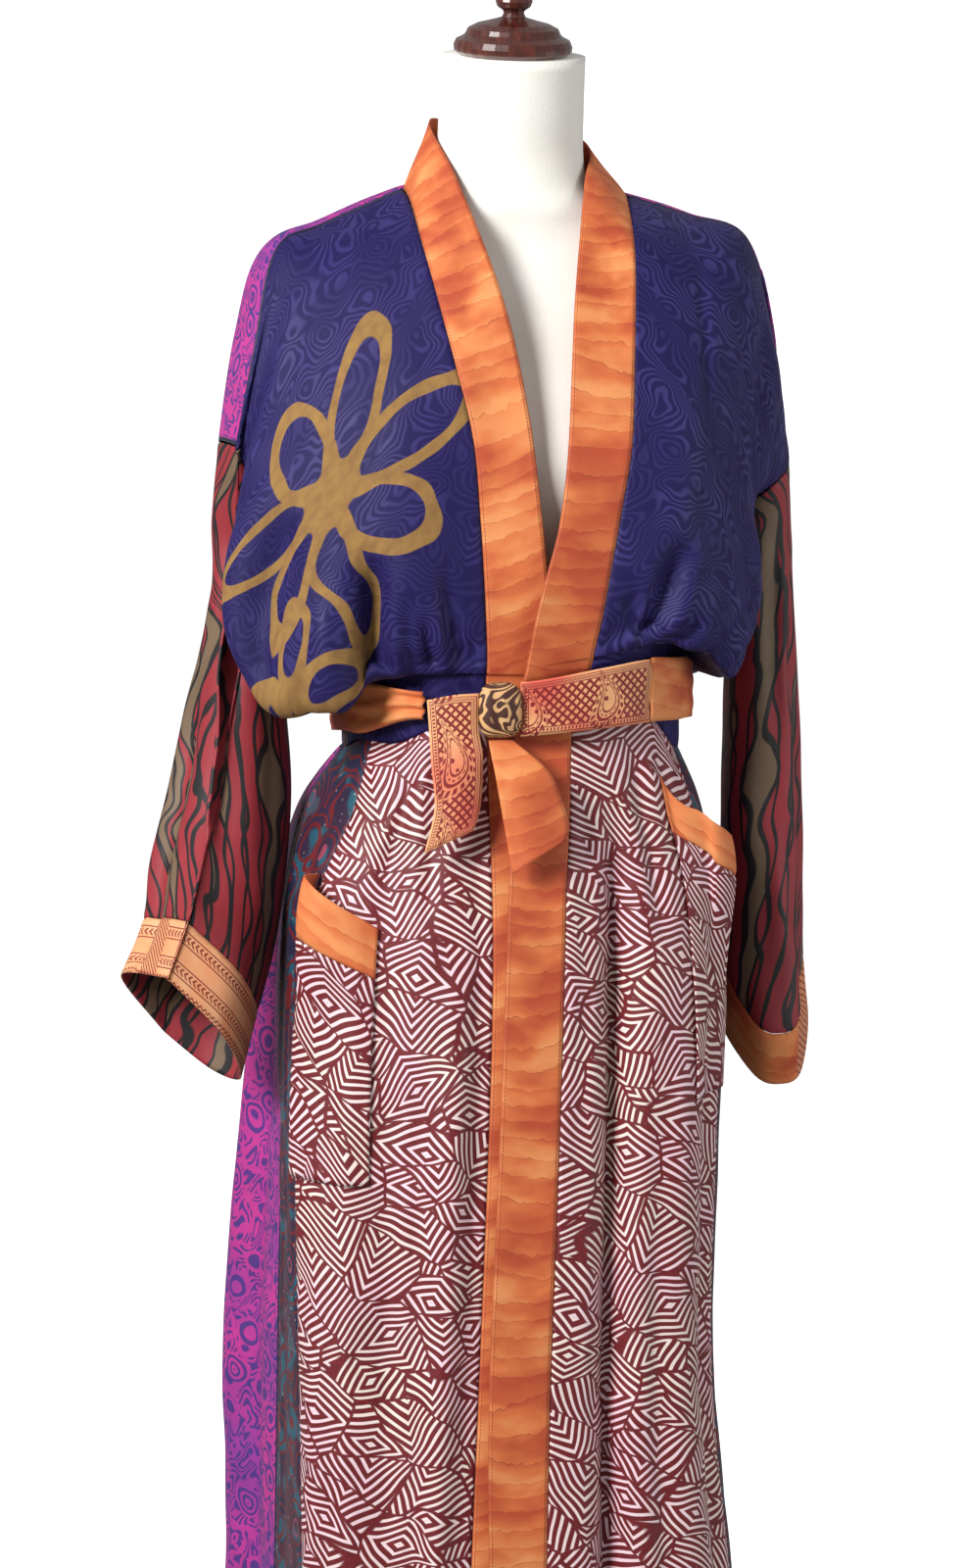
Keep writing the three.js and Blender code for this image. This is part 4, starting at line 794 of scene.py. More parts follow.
def shell_faces(rows, columns, closed):
    """Outer side, inner side and the rims between them. The inner vertices are numbered after the outer."""
    count = rows * columns
    index = np.arange(count).reshape(rows, columns)
    cells = quads_of(index, closed)
    quads = cells.reshape(-1, 4)
    here, there = cells[0, :, 0], cells[0, :, 1]
    rims = [np.stack([here, here + count, there + count, there], -1)]
    here, there = cells[-1, :, 3], cells[-1, :, 2]
    rims.append(np.stack([here, there, there + count, here + count], -1))
    if not closed:
        here, there = index[:-1, 0], index[1:, 0]
        rims.append(np.stack([here, there, there + count, here + count], -1))
        here, there = index[:-1, -1], index[1:, -1]
        rims.append(np.stack([here, here + count, there + count, there], -1))
    return np.concatenate([quads, (quads + count)[:, ::-1], *rims])


def stand_in(made, node, slot):
    """Puts a piece on the only body, in place of a node of the CAD model."""
    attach(made, "root")
    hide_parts(node)


def shell(node, surface, spans, material, slot, gaps="", closed=False, height=0.8, from_end=False):
    """One cloth piece as a thin closed shell. spans is ((first, last, length) across, the same down).

    gaps names the edges drawn back from a seam: a and b the first and last columns, c and d the rows.
    """
    name = f"{node}_cloth"
    (u0, u1, width), (v0, v1, length) = spans
    u, v = spaced(u0, u1, width), spaced(v0, v1, length)
    u = u[:-1] if closed else u
    outer = surface(u[None, :], v[:, None])
    across, along = arc(outer, 1), arc(outer, 0)
    normals = grid_normals(outer, closed)
    centre = outer.mean(axis=1, keepdims=True) if closed else outer * (0, 0, 1)
    side = np.sign((normals * unit(outer - centre)).sum())
    normals = normals * side
    from_a, from_b = across, across[:, -1:] - across
    from_c, from_d = along, along[-1:] - along
    seams_near = [far for key, far in zip("abcd", (from_a, from_b, from_c, from_d)) if key in gaps]
    push = ripple(across, along, height, sum(map(ord, name)))
    for far in seams_near:
        push = push * smooth(far / RIPPLE_FADE)
    pucker = 1 + 0.5 * np.sin((across + along) * 2 * math.pi / PUCKER_LENGTH)
    for far in seams_near:
        push = push - SEAM_DIP * pucker * (1 - smooth(far / SEAM_DIP_WIDTH))
    outer = outer + normals * push[..., None]
    inner = outer - normals * CLOTH
    edges = (
        ("a", np.s_[:, 0], np.s_[:, 1]),
        ("b", np.s_[:, -1], np.s_[:, -2]),
        ("c", np.s_[0], np.s_[1]),
        ("d", np.s_[-1], np.s_[-2]),
    )
    for key, here, there in edges:
        if key in gaps:
            step = unit(outer[there] - outer[here])
            outer[here] += step * SEAM_GAP / 2
            inner[here] += step * SEAM_GAP / 2
    faces = shell_faces(*outer.shape[:2], closed)
    if side < 0:
        faces = faces[:, ::-1]
    points = np.concatenate([outer.reshape(-1, 3), inner.reshape(-1, 3)])
    made = mesh_object(name, points, faces.tolist(), material)
    down = along - along[-1:] if from_end else along
    flat = np.stack([across, down], -1).reshape(-1, 2)
    edge = np.stack([np.minimum(from_a, from_b), np.minimum(from_c, from_d)], -1).reshape(-1, 2)
    put_uv(made, "flat", np.concatenate([flat, flat]))
    put_uv(made, "edge", np.concatenate([edge, edge]))
    if node.startswith("cuff"):
        put_uv(made, "inner", np.repeat([[0.0, 0.0], [1.0, 1.0]], len(flat), axis=0) / MM)
    stand_in(made, node, slot)
    corner = outer[:-1, :-1]
    areas = np.linalg.norm(np.cross(outer[1:, :-1] - corner, outer[:-1, 1:] - corner), axis=-1)
    made["cut_m2"] = float(areas.sum()) * MM * MM
    made["cut_m"] = [float(across[:, -1].max()) * MM, float(along[-1].max()) * MM]
    return made


# Materials

COLOUR_LEVEL = 0.92


def linear(part):
    """One part of a colour, 0 to 255, as light."""
    part = part / 255
    return COLOUR_LEVEL * (part / 12.92 if part <= 0.04045 else ((part + 0.055) / 1.055) ** 2.4)


def rgb(red, green, blue):
    """A colour as it looks under the studio lights."""
    return linear(red), linear(green), linear(blue), 1.0


def worked_out(operation, swapped=False):
    """An operator of Wire that a Math node works out."""
    def apply(wire, other):
        values = (other, wire) if swapped else (wire, other)
        return wire.fabric.math(operation, *values)

    return apply


class Wire:
    """What comes out of a node. It adds, multiplies and compares like a number, by further nodes."""

    def __init__(self, fabric, socket):
        self.fabric = fabric
        self.socket = socket

    __add__ = worked_out("ADD")
    __radd__ = worked_out("ADD", swapped=True)
    __sub__ = worked_out("SUBTRACT")
    __rsub__ = worked_out("SUBTRACT", swapped=True)
    __mul__ = worked_out("MULTIPLY")
    __truediv__ = worked_out("DIVIDE")
    __gt__ = worked_out("GREATER_THAN")
    __lt__ = worked_out("LESS_THAN")

    def __abs__(self):
        return self.fabric.math("ABSOLUTE", self)


class Fabric:
    """A material on the flat cut of a piece, in metres, with short names for the nodes that it uses."""

    def __init__(self, name, roughness=0.6, sheen=0.08, uv="flat"):
        self.material = bpy.data.materials.new(name)
        self.material.use_nodes = True
        self.tree = self.material.node_tree
        self.shader = self.tree.nodes["Principled BSDF"]
        self.shade(Roughness=roughness, Sheen_Weight=sheen, Sheen_Roughness=0.4)
        self.place = self.layer(uv) if uv else self.object_place()

    def add(self, kind, **settings):
        node = self.tree.nodes.new("ShaderNode" + kind)
        for key, value in settings.items():
            setattr(node, key, value)
        return node

    def out(self, node, output=0):
        return Wire(self, node.outputs[output])

    def feed(self, socket, value):
        if isinstance(value, Wire):
            self.tree.links.new(value.socket, socket)
        else:
            socket.default_value = value

    def shade(self, **inputs):
        """Feeds inputs of the shader. An underscore stands for a space in their names."""
        for name, value in inputs.items():
            self.feed(self.shader.inputs[name.replace("_", " ")], value)

    def layer(self, name):
        """A UV layer."""
        return self.out(self.add("UVMap", uv_map=name))

    def object_place(self):
        return self.out(self.add("TexCoord"), "Object")

    def math(self, operation, *values):
        node = self.add("Math", operation=operation)
        for socket, value in zip(node.inputs, values):
            self.feed(socket, value)
        return self.out(node)

    def most(self, first, second):
        return self.math("MAXIMUM", first, second)

    def least(self, first, second):
        return self.math("MINIMUM", first, second)

    def clamped(self, value):
        return self.least(self.most(value, 0.0), 1.0)

    def vector(self, operation, *values):
        node = self.add("VectorMath", operation=operation)
        for socket, value in zip(node.inputs, values):
            self.feed(socket, value)
        return self.out(node, "Value" if operation == "LENGTH" else 0)

    def moved(self, place, across, down):
        return self.vector("ADD", place, (across, down, 0))

    def mix(self, share, first, second):
        node = self.add("Mix", data_type="RGBA")
        self.feed(node.inputs[0], share)
        self.feed(node.inputs[6], first)
        self.feed(node.inputs[7], second)
        return self.out(node, 2)

    def split(self, place):
        node = self.add("SeparateXYZ")
        self.feed(node.inputs[0], place)
        return self.out(node, 0), self.out(node, 1)

    def stretched(self, place, across, down):
        return self.vector("MULTIPLY", place, (across, down, 1))

    def turned(self, place, angle):
        node = self.add("VectorRotate", rotation_type="Z_AXIS")
        self.feed(node.inputs["Vector"], place)
        self.feed(node.inputs["Angle"], angle)
        return self.out(node)

    def noise(self, place, size, detail=2.0, output=0):
        node = self.add("TexNoise")
        self.feed(node.inputs["Vector"], place)
        node.inputs["Scale"].default_value = 1 / size
        node.inputs["Detail"].default_value = detail
        return self.out(node, output)

    def wavy(self, place, size, amount):
        """The place moved about by noise of that size."""
        away = self.vector("SUBTRACT", self.noise(place, size, 1.0, 1), (0.5, 0.5, 0.5))
        return self.vector("ADD", place, self.vector("MULTIPLY", away, (amount, amount, amount)))

    def cells(self, place, size, feature="F1", randomness=1.0):
        """A Voronoi node with cells of about that size."""
        node = self.add("TexVoronoi", feature=feature)
        self.feed(node.inputs["Vector"], place)
        node.inputs["Scale"].default_value = 1 / size
        node.inputs["Randomness"].default_value = randomness
        return node

    def cell_distance(self, place, size, feature="F1", randomness=1.0):
        """Distance from the middle or the edge of a cell, in shares of its size."""
        return self.out(self.cells(place, size, feature, randomness), "Distance")

    def line(self, distance, half, soft=0.0003):
        """1 within half a width of where distance is 0."""
        return self.clamped((half - abs(distance)) / soft)

    def stripes(self, value, pitch, share=0.5, soft=0.08):
        """1 on the stripes of a value, with that pitch and share of stripe."""
        wave = self.math("PINGPONG", value / pitch, 0.5)
        return self.clamped((share / 2 - wave) / soft + 0.5)

    def lattice(self, pitch, half):
        """Two sets of slanting lines that cross."""
        one, two = self.split(self.turned(self.place, math.pi / 4))
        nearest = self.least(self.math("PINGPONG", one, pitch), self.math("PINGPONG", two, pitch))
        return self.line(nearest, half)

    def from_nearest(self, value, middle, step):
        """Distance from the nearest of the places that lie a step apart, one of them at middle."""
        return self.math("FLOORED_MODULO", value + (step / 2 - middle), step) - step / 2

    def ramp(self, value, low, high):
        """0 up to low, rising to 1 at high."""
        node = self.add("MapRange")
        self.feed(node.inputs[0], value)
        node.inputs[1].default_value = low
        node.inputs[2].default_value = high
        return self.out(node)

    def patches(self, size, low, high, first, second, detail=2.0):
        """The first colour where noise of that size is low, and the second where it is high."""
        return self.mix(self.ramp(self.noise(self.place, size, detail), low, high), first, second)

    def either(self, *masks):
        total = masks[0]
        for mask in masks[1:]:
            total = self.most(total, mask)
        return total

    def edges(self):
        """Distances in metres to the nearest side edge and to the nearest end."""
        return self.split(self.layer("edge"))

    def inside(self):
        """1 on the inner side of a cuff."""
        return self.split(self.layer("inner"))[0]

    def raised(self, height, distance, strength=1.0):
        """Relief by a bump of that many metres."""
        bump = self.add("Bump")
        bump.inputs["Distance"].default_value = distance
        bump.inputs["Strength"].default_value = strength
        self.feed(bump.inputs["Height"], height)
        self.shade(Normal=self.out(bump))

    def finish(self, colour, relief=0.0, thread=0.0009, weave=0.12, height=0.0003):
        """Colour with slow fading and a weave, and a relief of threads and whatever else is raised."""
        across, down = self.split(self.place)
        threads = self.stripes(across, thread, 0.5, 0.5) * self.stripes(down, thread, 0.5, 0.5)
        darker = self.mix(0.14, colour, (0, 0, 0, 1))
        toned = self.patches(0.06, 0.3, 0.7, darker, colour, 3.0)
        self.shade(Base_Color=self.mix(threads * weave, toned, darker))
        crumple = self.noise(self.place, 0.016, 2.0) * 1.8
        self.raised(threads * 0.35 + crumple + relief, height, 0.6)
        return self.material


INDIGO = rgb(33, 25, 80)
INDIGO_LIGHT = rgb(78, 70, 138)
TAN = rgb(162, 124, 68)
ORANGE = rgb(220, 116, 60)
ORANGE_DEEP = rgb(188, 74, 38)
ORANGE_LIGHT = rgb(238, 154, 92)
CRACKLE = rgb(140, 58, 32)
MAGENTA = rgb(194, 48, 144)
VIOLET = rgb(60, 38, 128)
MAROON = rgb(106, 10, 20)
PINK = rgb(252, 218, 228)
CREAM = rgb(250, 232, 222)
NAVY = rgb(20, 24, 60)
TEAL = rgb(24, 84, 104)
BRICK = rgb(158, 40, 50)
TAUPE = rgb(122, 98, 74)
BLACK = rgb(20, 16, 20)
BROWN = rgb(72, 32, 20)

# Loop flowers on the right front: centre across and below the shoulder, petals, reach, petal width, turn.
FLOWERS = [
    (0.112, -0.232, 7, 0.104, 0.042, 0.30),
    (0.214, -0.352, 5, 0.070, 0.032, 0.90),
]
FLOWER_HEART = 0.013
BRUSH_SOFT = 0.0006


def loop_flowers(s, flowers):
    """Outlines of long round petals around each centre, as if drawn with a broad brush."""
    width = 0.0024 + s.noise(s.place, 0.034, 1.0) * 0.0048
    loose = s.wavy(s.place, 0.06, 0.012)
    mask = 0.0
    for x, y, petals, reach, petal, turn in flowers:
        from_centre = s.vector("SUBTRACT", loose, (x, y, 0))
        for k in range(petals):
            length = reach * (1 + 0.14 * math.cos(2.4 * k))
            here = s.turned(from_centre, -(turn + 2 * math.pi * k / petals))
            here = s.vector("SUBTRACT", here, (length / 2 + FLOWER_HEART, 0, 0))
            round_place = s.vector("MULTIPLY", here, (2 / length, 2 / petal, 0))
            far = (s.vector("LENGTH", round_place) - 1.0) * (petal / 2)
            mask = s.most(mask, s.line(far, width, BRUSH_SOFT))
    return mask


def satin(name, flowers=()):
    """Indigo jacquard: glossier swirls in one colour, with tan brush flowers."""
    s = Fabric(name, roughness=0.5, sheen=0.02)
    s.shade(Specular_IOR_Level=0.18)
    loose = s.wavy(s.place, 0.030, 0.020)
    swirl = s.stripes(s.noise(loose, 0.042, 0.5), 0.052, 0.42, 0.16)
    field = s.ramp(s.noise(loose, 0.050, 0.0), 0.46, 0.54)
    swirl = swirl * (0.45 + field * 0.55)
    roughness = 0.62 - swirl * 0.12
    colour = s.mix(swirl * (0.36 if flowers else 0.48), INDIGO, INDIGO_LIGHT)
    relief = swirl * 0.5
    if flowers:
        strokes = loop_flowers(s, flowers)
        dry = s.patches(0.010, 0.35, 0.75, TAN, rgb(138, 102, 60), 3.0)
        colour = s.mix(strokes * 0.94, colour, dry)
        bare = 1.0 - strokes
        relief = relief * bare
        roughness = roughness * bare + strokes * 0.8
    s.shade(Roughness=roughness)
    return s.finish(colour, relief, thread=0.0007, weave=0.06, height=0.00022)


BATIK_STEP = 0.0165
STITCH_PITCH = 0.0028
STITCH_INSET = 0.0026
CUFF_PRINT_X = 0.228


def batik(name, shift, stitched=True, cuff=False):
    """Orange in wavy bands that fade from line to line, with a dark scalloped line at each.

    A stitched one has a row of stitches along its sides. A cuff has a printed outer side.
    """
    s = Fabric(name, roughness=0.72, sheen=0.06)
    s.place = s.moved(s.place, shift, shift)
    _, down = s.split(s.place)
    sway = s.noise(s.stretched(s.place, 0.4, 1.0), 0.070, 1.0)
    scallops = s.noise(s.stretched(s.place, 1.0, 0.6), 0.0075, 1.0)
    part = s.math("FRACT", down / BATIK_STEP + sway * 3.0 + scallops * 0.42)
    tone = s.ramp(s.noise(s.stretched(s.wavy(s.place, 0.03, 0.01), 0.5, 1.0), 0.046, 3.0), 0.40, 0.62)
    fading = part * 0.28 + tone * 0.72
    colour = s.mix(s.ramp(fading, 0.08, 0.55), ORANGE_DEEP, ORANGE)
    colour = s.mix(s.ramp(fading, 0.52, 0.98), colour, ORANGE_LIGHT)
    crackle = s.line(part, 0.045, 0.03) * s.ramp(s.noise(s.place, 0.020, 2.0), 0.40, 0.62)
    colour = s.mix(crackle * 0.68, colour, CRACKLE)
    if cuff:
        sideways, _ = s.split(s.object_place())
        printed = s.mix(s.lattice(0.0021, 0.0007), rgb(238, 160, 110), rgb(140, 34, 30))
        colour = s.mix(sideways > CUFF_PRINT_X, colour, printed)
        colour = s.mix(s.inside(), colour, net_colour(s))
    if not stitched:
        return s.finish(colour)
    side, _ = s.edges()
    stitches = s.line(side - STITCH_INSET, 0.00045, 0.0002) * s.stripes(down, STITCH_PITCH, 0.7)
    seam = s.either(stitches, s.line(side, 0.0012, 0.0008) * 0.5)
    return s.finish(s.mix(seam, colour, rgb(150, 66, 34)), seam * -0.8)


PATCH_SIZE = 0.036
PATCH_SQUASH = 0.60
PATCH_LOOSE = 0.85
ZIGZAG_PITCH = 0.0061


def zigzag(name):
    """Maroon lines on pale pink: nested chevrons and diamonds in leaning leaf-shaped patches."""
    s = Fabric(name, roughness=0.62, sheen=0.06)
    squashed = s.stretched(s.turned(s.wavy(s.place, 0.060, 0.020), 0.42), PATCH_SQUASH, 1.0)
    cell = s.cells(squashed, PATCH_SIZE, randomness=PATCH_LOOSE)
    edge = s.cell_distance(squashed, PATCH_SIZE, "DISTANCE_TO_EDGE", PATCH_LOOSE)
    local = s.stretched(s.vector("SUBTRACT", squashed, s.out(cell, "Position")), 1 / PATCH_SQUASH, 1.0)
    red, green = s.split(s.out(cell, "Color"))
    across, down = s.split(s.turned(local, red * 1.1 - 0.95))
    chevron = abs(across) * 0.8 + down * 0.75
    diamond = abs(down) + abs(across) * 0.52
    pick = green > 0.42
    value = chevron * (1.0 - pick) + diamond * pick
    lines = s.stripes(value + 0.0016, ZIGZAG_PITCH, 0.61, 0.05)
    border = s.line(edge, 0.026, 0.012)
    ground = s.patches(0.09, 0.4, 0.6, PINK, CREAM, 1.0)
    wet = s.patches(0.004, 0.2, 0.6, rgb(126, 20, 28), MAROON)
    return s.finish(s.mix(s.either(lines, border), ground, wet), thread=0.0008)


RING_SPACING = 0.034
RING_REACH = 0.0130
# Width of the navy band at every edge of the magenta print: partly a dark seam line, partly painted seam
# shade.
SEAM_LINE_AND_SHADE_WIDTH = 0.0030


def magenta_print(name):
    """Blue-violet rings, dots and leaf strokes, close together on magenta."""
    s = Fabric(name, roughness=0.6, sheen=0.06)
    loose = s.wavy(s.place, 0.03, 0.012)
    far = s.cell_distance(loose, RING_SPACING, randomness=0.85) * RING_SPACING
    rings = s.stripes(far, 0.0052, 0.5) * (far < RING_REACH)
    dashes = s.stripes(s.noise(s.stretched(s.turned(loose, 0.6), 1.0, 0.5), 0.020, 1.0), 0.085, 0.5, 0.14)
    broken = s.noise(loose, 0.010, 1.0) > 0.44
    strokes = dashes * broken * (far > RING_REACH + 0.0010)
    shade = s.patches(0.05, 0.35, 0.65, VIOLET, rgb(44, 44, 124))
    tone = s.patches(0.11, 0.42, 0.62, MAGENTA, rgb(152, 50, 150))
    colour = s.mix(s.either(rings, strokes) * 0.9, tone, shade)
    # A navy band along every edge: partly a dark seam line, partly painted shade where the seams meet.
    return s.finish(s.mix(s.least(*s.edges()) < SEAM_LINE_AND_SHADE_WIDTH, colour, NAVY))


NET_PITCH = 0.0190
NET_SWAY = 0.058


def net_colour(s):
    """Two sets of long wavy black lines that cross in flame-like meshes, brick and taupe inside."""
    across, _ = s.split(s.place)
    sheet = s.stretched(s.place, 0.45, 0.36)
    lines = 0.0
    bands = []
    for shift in (0.0, 5.3):
        sway = s.noise(s.moved(sheet, shift, shift), 0.028, 1.0)
        way = across + sway * NET_SWAY + shift
        lines = s.most(lines, s.stripes(way, NET_PITCH, 0.19, 0.035))
        bands.append(s.math("FLOOR", way / NET_PITCH))
    mixed = bands[0] * 2.37 + bands[1] * 3.71
    fields = s.math("FRACT", s.math("SINE", mixed) * 43.7) > 0.64
    colour = s.mix(fields, BRICK, TAUPE)
    colour = s.mix(s.noise(s.place, 0.008, 3.0) * 0.16, colour, BLACK)
    return s.mix(lines, colour, BLACK)


def net(name):
    """The sleeve's black net."""
    s = Fabric(name, roughness=0.6, sheen=0.04)
    return s.finish(net_colour(s))


BLOOM_SPACING = 0.042


def dark_floral(name):
    """Navy with teal and maroon flower outlines and cream dots."""
    s = Fabric(name, roughness=0.6)
    far = s.cell_distance(s.wavy(s.place, 0.03, 0.012), BLOOM_SPACING) * BLOOM_SPACING
    plum = s.patches(0.08, 0.40, 0.60, NAVY, rgb(52, 20, 50), 1.0)
    colour = s.patches(0.035, 0.54, 0.60, plum, TEAL, 1.0)
    colour = s.mix(s.stripes(far, 0.007, 0.3), colour, s.mix(far > 0.009, rgb(150, 60, 84), MAROON))
    dots = s.cell_distance(s.place, 0.0085, randomness=0.5) < 0.12
    return s.finish(s.mix(dots * (far > 0.017) * 0.25, colour, CREAM))


ARROW_ROWS = (0.011, 0.034)


def cuff_print(name):
    """Pale peach with maroon arrow borders near both edges and a hatched stretch by its seam."""
    s = Fabric(name, roughness=0.66, sheen=0.05)
    across, down = s.split(s.place)
    mask = 0.0
    for middle in ARROW_ROWS:
        from_row = abs(down - middle)
        arrows = s.line(from_row, 0.0028, 0.0002) * s.stripes(from_row + across, 0.0046, 0.5)
        mask = s.most(mask, s.either(arrows, s.line(from_row - 0.0045, 0.0007)))
    peak = s.math("PINGPONG", across, 0.0024)
    selvage = s.stripes(down + peak, 0.0036, 0.5) * (down > 0.0435)
    hatch = s.stripes(across + down, 0.0042, 0.5)
    at_seam = s.math("PINGPONG", across + 0.15, 0.16) < 0.012
    mask = s.either(mask * (1.0 - at_seam), selvage, hatch * at_seam)
    tone = s.patches(0.03, 0.35, 0.65, rgb(248, 184, 134), rgb(238, 156, 106))
    colour = s.mix(mask * 0.9, tone, rgb(128, 30, 28))
    return s.finish(s.mix(s.inside(), colour, net_colour(s)))


PAISLEY_ACROSS = 0.062
PAISLEY_DOWN = 0.070


def sash_print(name, middle, reach=0.0160):
    """Peach to coral with a maroon lattice, paisleys in a row through a middle and borders at the edges."""
    s = Fabric(name, roughness=0.66, sheen=0.05)
    across, down = s.split(s.place)
    ground = s.patches(0.060, 0.44, 0.66, rgb(244, 178, 122), rgb(226, 98, 78), 0.5)
    tall = s.from_nearest(down, middle[1], PAISLEY_DOWN) / reach
    bend = tall * tall * 0.0045
    wide = s.most(0.0075 + tall * 0.0046, 0.0024)
    side_on = (s.from_nearest(across, middle[0], PAISLEY_ACROSS) - bend) / wide
    far = s.math("SQRT", side_on * side_on + tall * tall)
    turn = s.math("ARCTAN2", side_on, tall)

    def ring(radius, half):
        return s.line(far - radius, half, 0.03)

    rays = s.stripes(turn, 0.30, 0.55) * ring(1.27, 0.13)
    beads = s.stripes(turn, 0.42, 0.5) * ring(0.83, 0.05)
    buds = (s.cell_distance(s.place, 0.0056, randomness=0.7) < 0.36) * (far < 0.62)
    near = s.least(*s.edges())
    hatch = s.stripes(across + down + near * 1.2, 0.0026, 0.5) * s.line(near - 0.0040, 0.0013)
    clear = (far > 1.46) * (near > 0.0064)
    lattice = s.lattice(0.0025, 0.00115) * clear
    rails = [s.line(near - inset, 0.0005) for inset in (0.0020, 0.0060)]
    figure = s.either(lattice, ring(1.0, 0.08), ring(0.66, 0.06), rays, beads, buds, *rails, hatch)
    return s.finish(s.mix(figure, ground, rgb(136, 26, 28)))


def scroll_print(name):
    """Dark brown with cream scrolls, for the wrap of the knot."""
    s = Fabric(name, roughness=0.66, sheen=0.05)
    scroll = s.stripes(s.noise(s.wavy(s.place, 0.012, 0.006), 0.016, 0.5), 0.16, 0.40, 0.10)
    return s.finish(s.mix(scroll, BROWN, rgb(226, 176, 120)))


def form_cover():
    """Off-white stretch cover with a fine fuzz."""
    s = Fabric("form_cover", roughness=0.85, sheen=0.3, uv=None)
    fuzz = s.noise(s.place, 0.0012, 2.0)
    colour = s.patches(0.05, 0.3, 0.7, rgb(246, 243, 234), rgb(252, 250, 244))
    s.shade(Base_Color=s.mix(fuzz * 0.12, colour, rgb(226, 220, 208)))
    s.raised(fuzz, 0.0003)
    return s.material


def dark_wood():
    """Turned wood under gloss varnish, with grain and broad patches of another brown."""
    s = Fabric("dark_wood", sheen=0.0, uv=None)
    grain = s.noise(s.vector("MULTIPLY", s.wavy(s.place, 0.04, 0.006), (1, 0.2, 0.2)), 0.0022, 5.0)
    broad = s.noise(s.place, 0.03, 3.0)
    colour = s.mix(s.ramp(grain, 0.35, 0.65), rgb(58, 20, 14), rgb(98, 42, 28))
    s.shade(Base_Color=s.mix(broad * 0.5, colour, rgb(70, 26, 20)), Roughness=0.22 + broad * 0.16)
    s.shade(Coat_Weight=0.7, Coat_Roughness=0.12)
    s.raised(grain, 0.0001)
    return s.material


# The garment, piece by piece

satin_print = satin("indigo_satin_print", FLOWERS)
satin_plain = satin("indigo_satin")
batik_bands = {"right": batik("orange_batik_right", 0.0), "left": batik("orange_batik_left", 3.7)}
batik_plain = batik("orange_batik_plain", 1.3, stitched=False)
zigzag_print = zigzag("maroon_zigzag")
magenta = magenta_print("magenta_print")
net_print = net("sleeve_net")
floral = dark_floral("dark_floral")
cuffs = {"right": cuff_print("cuff_border"), "left": batik("cuff_batik", 2.1, stitched=False, cuff=True)}
sash = sash_print("sash_print", (0.040, 0.023))
sash_tail = sash_print("sash_tail_print", (0.020, 0.046), 0.0210)
knot_wrap = scroll_print("knot_scroll_print")


def sew(node, surface, spans, material, slot, held="draped", rests="form_torso", **options):
    made = shell(node, surface, spans, material, slot, **options)


FRONT_SPANS = ((0, SEAM_COLUMN, 250), (0, FRONT_LAST, 520))
for half, material in (("right", satin_print), ("left", satin_plain)):
    sew(f"front_{half}", fronts[half], FRONT_SPANS, material, "indigo_satin", gaps="abcd", from_end=True)
sew("bodice_back", back, ((0, BACK_COLUMNS, 560), (0, BACK_LAST, 480)), magenta, "magenta_print", gaps="abcd")

SLEEVE_START = 0.02
SLEEVE_SPANS = ((0, RING_POINTS, 270), (SLEEVE_START, SLEEVE_ROWS, 400))
CUFF_SPANS = ((0, RING_POINTS, 300), (SLEEVE_ROWS, SLEEVE_ROWS + 1, 48))
POCKET_ACROSS = (0, 1 + POCKET_RETURN, 90)
for half in SIGN:
    sew(f"sleeve_{half}", sleeves[half], SLEEVE_SPANS, net_print, "sleeve_print", held="hung",
        rests=f"front_{half}_cloth", gaps="cd", closed=True)
    sew(f"cuff_{half}", sleeves[half], CUFF_SPANS, cuffs[half], "cuff_peach", held="hung",
        rests=f"sleeve_{half}_cloth", gaps="c", closed=True, height=0.4)
    pocket = POCKETS[half]
    patch = pocket_surface(pocket)
    share = (pocket["band"] - pocket["mouth"][0]) / (pocket["foot"] - pocket["mouth"][0])
    sew(f"pocket_band_{half}", patch, (POCKET_ACROSS, (0, share, 60)), batik_plain, "orange_batik",
        held="stretched", rests=f"pocket_{half}_cloth", gaps="d", height=0.3)
    sew(f"pocket_{half}", patch, (POCKET_ACROSS, (share, 1, 180)), zigzag_print, "maroon_print",
        held="stretched", rests=f"skirt_front_{half}_cloth", gaps="c", height=0.3)

SKIRT_PANELS = [
    ("skirt_front_right", "bandR", "cornerR", 170, zigzag_print, "maroon_print"),
    ("side_panel_right", "cornerR", "sideR", 110, floral, "navy_floral"),
    ("skirt_back", "sideR", "sideL", 620, magenta, "magenta_print"),
    ("side_panel_left", "sideL", "cornerL", 110, floral, "navy_floral"),
    ("skirt_front_left", "cornerL", "bandL", 190, zigzag_print, "maroon_print"),
]
for name, start, end, width, material, slot in SKIRT_PANELS:
    spans = ((SKIRT_COLUMNS.index(start), SKIRT_COLUMNS.index(end), width), (0, SKIRT_LAST, 850))
    sew(name, skirt, spans, material, slot, held="hung", rests="belt_plain_cloth", gaps="abc", height=1.6)

BAND_LAST = len(BAND_RIGHT) - 1
for half, edge in (("right", BAND_RIGHT), ("left", BAND_LEFT)):
    sew(f"neckband_{half}", band_surface(half, edge), ((0, 1, 46), (0, BAND_LAST, 1500)), batik_bands[half],
        "orange_batik", gaps="ac", height=0.7)

# Belt

PRINT_EDGES = [(0, 1031, 1079), (1, 1025, 1066)]
BELT_PUCKERS = 9
BELT_SWAY = 2.2
BELT_GATHER = 0.5
KNOT_REACH = 0.13
KNOT_GATHER = 1.9
KNOT_FLUTTER = 0.8
FLUTTER_TURN = 60


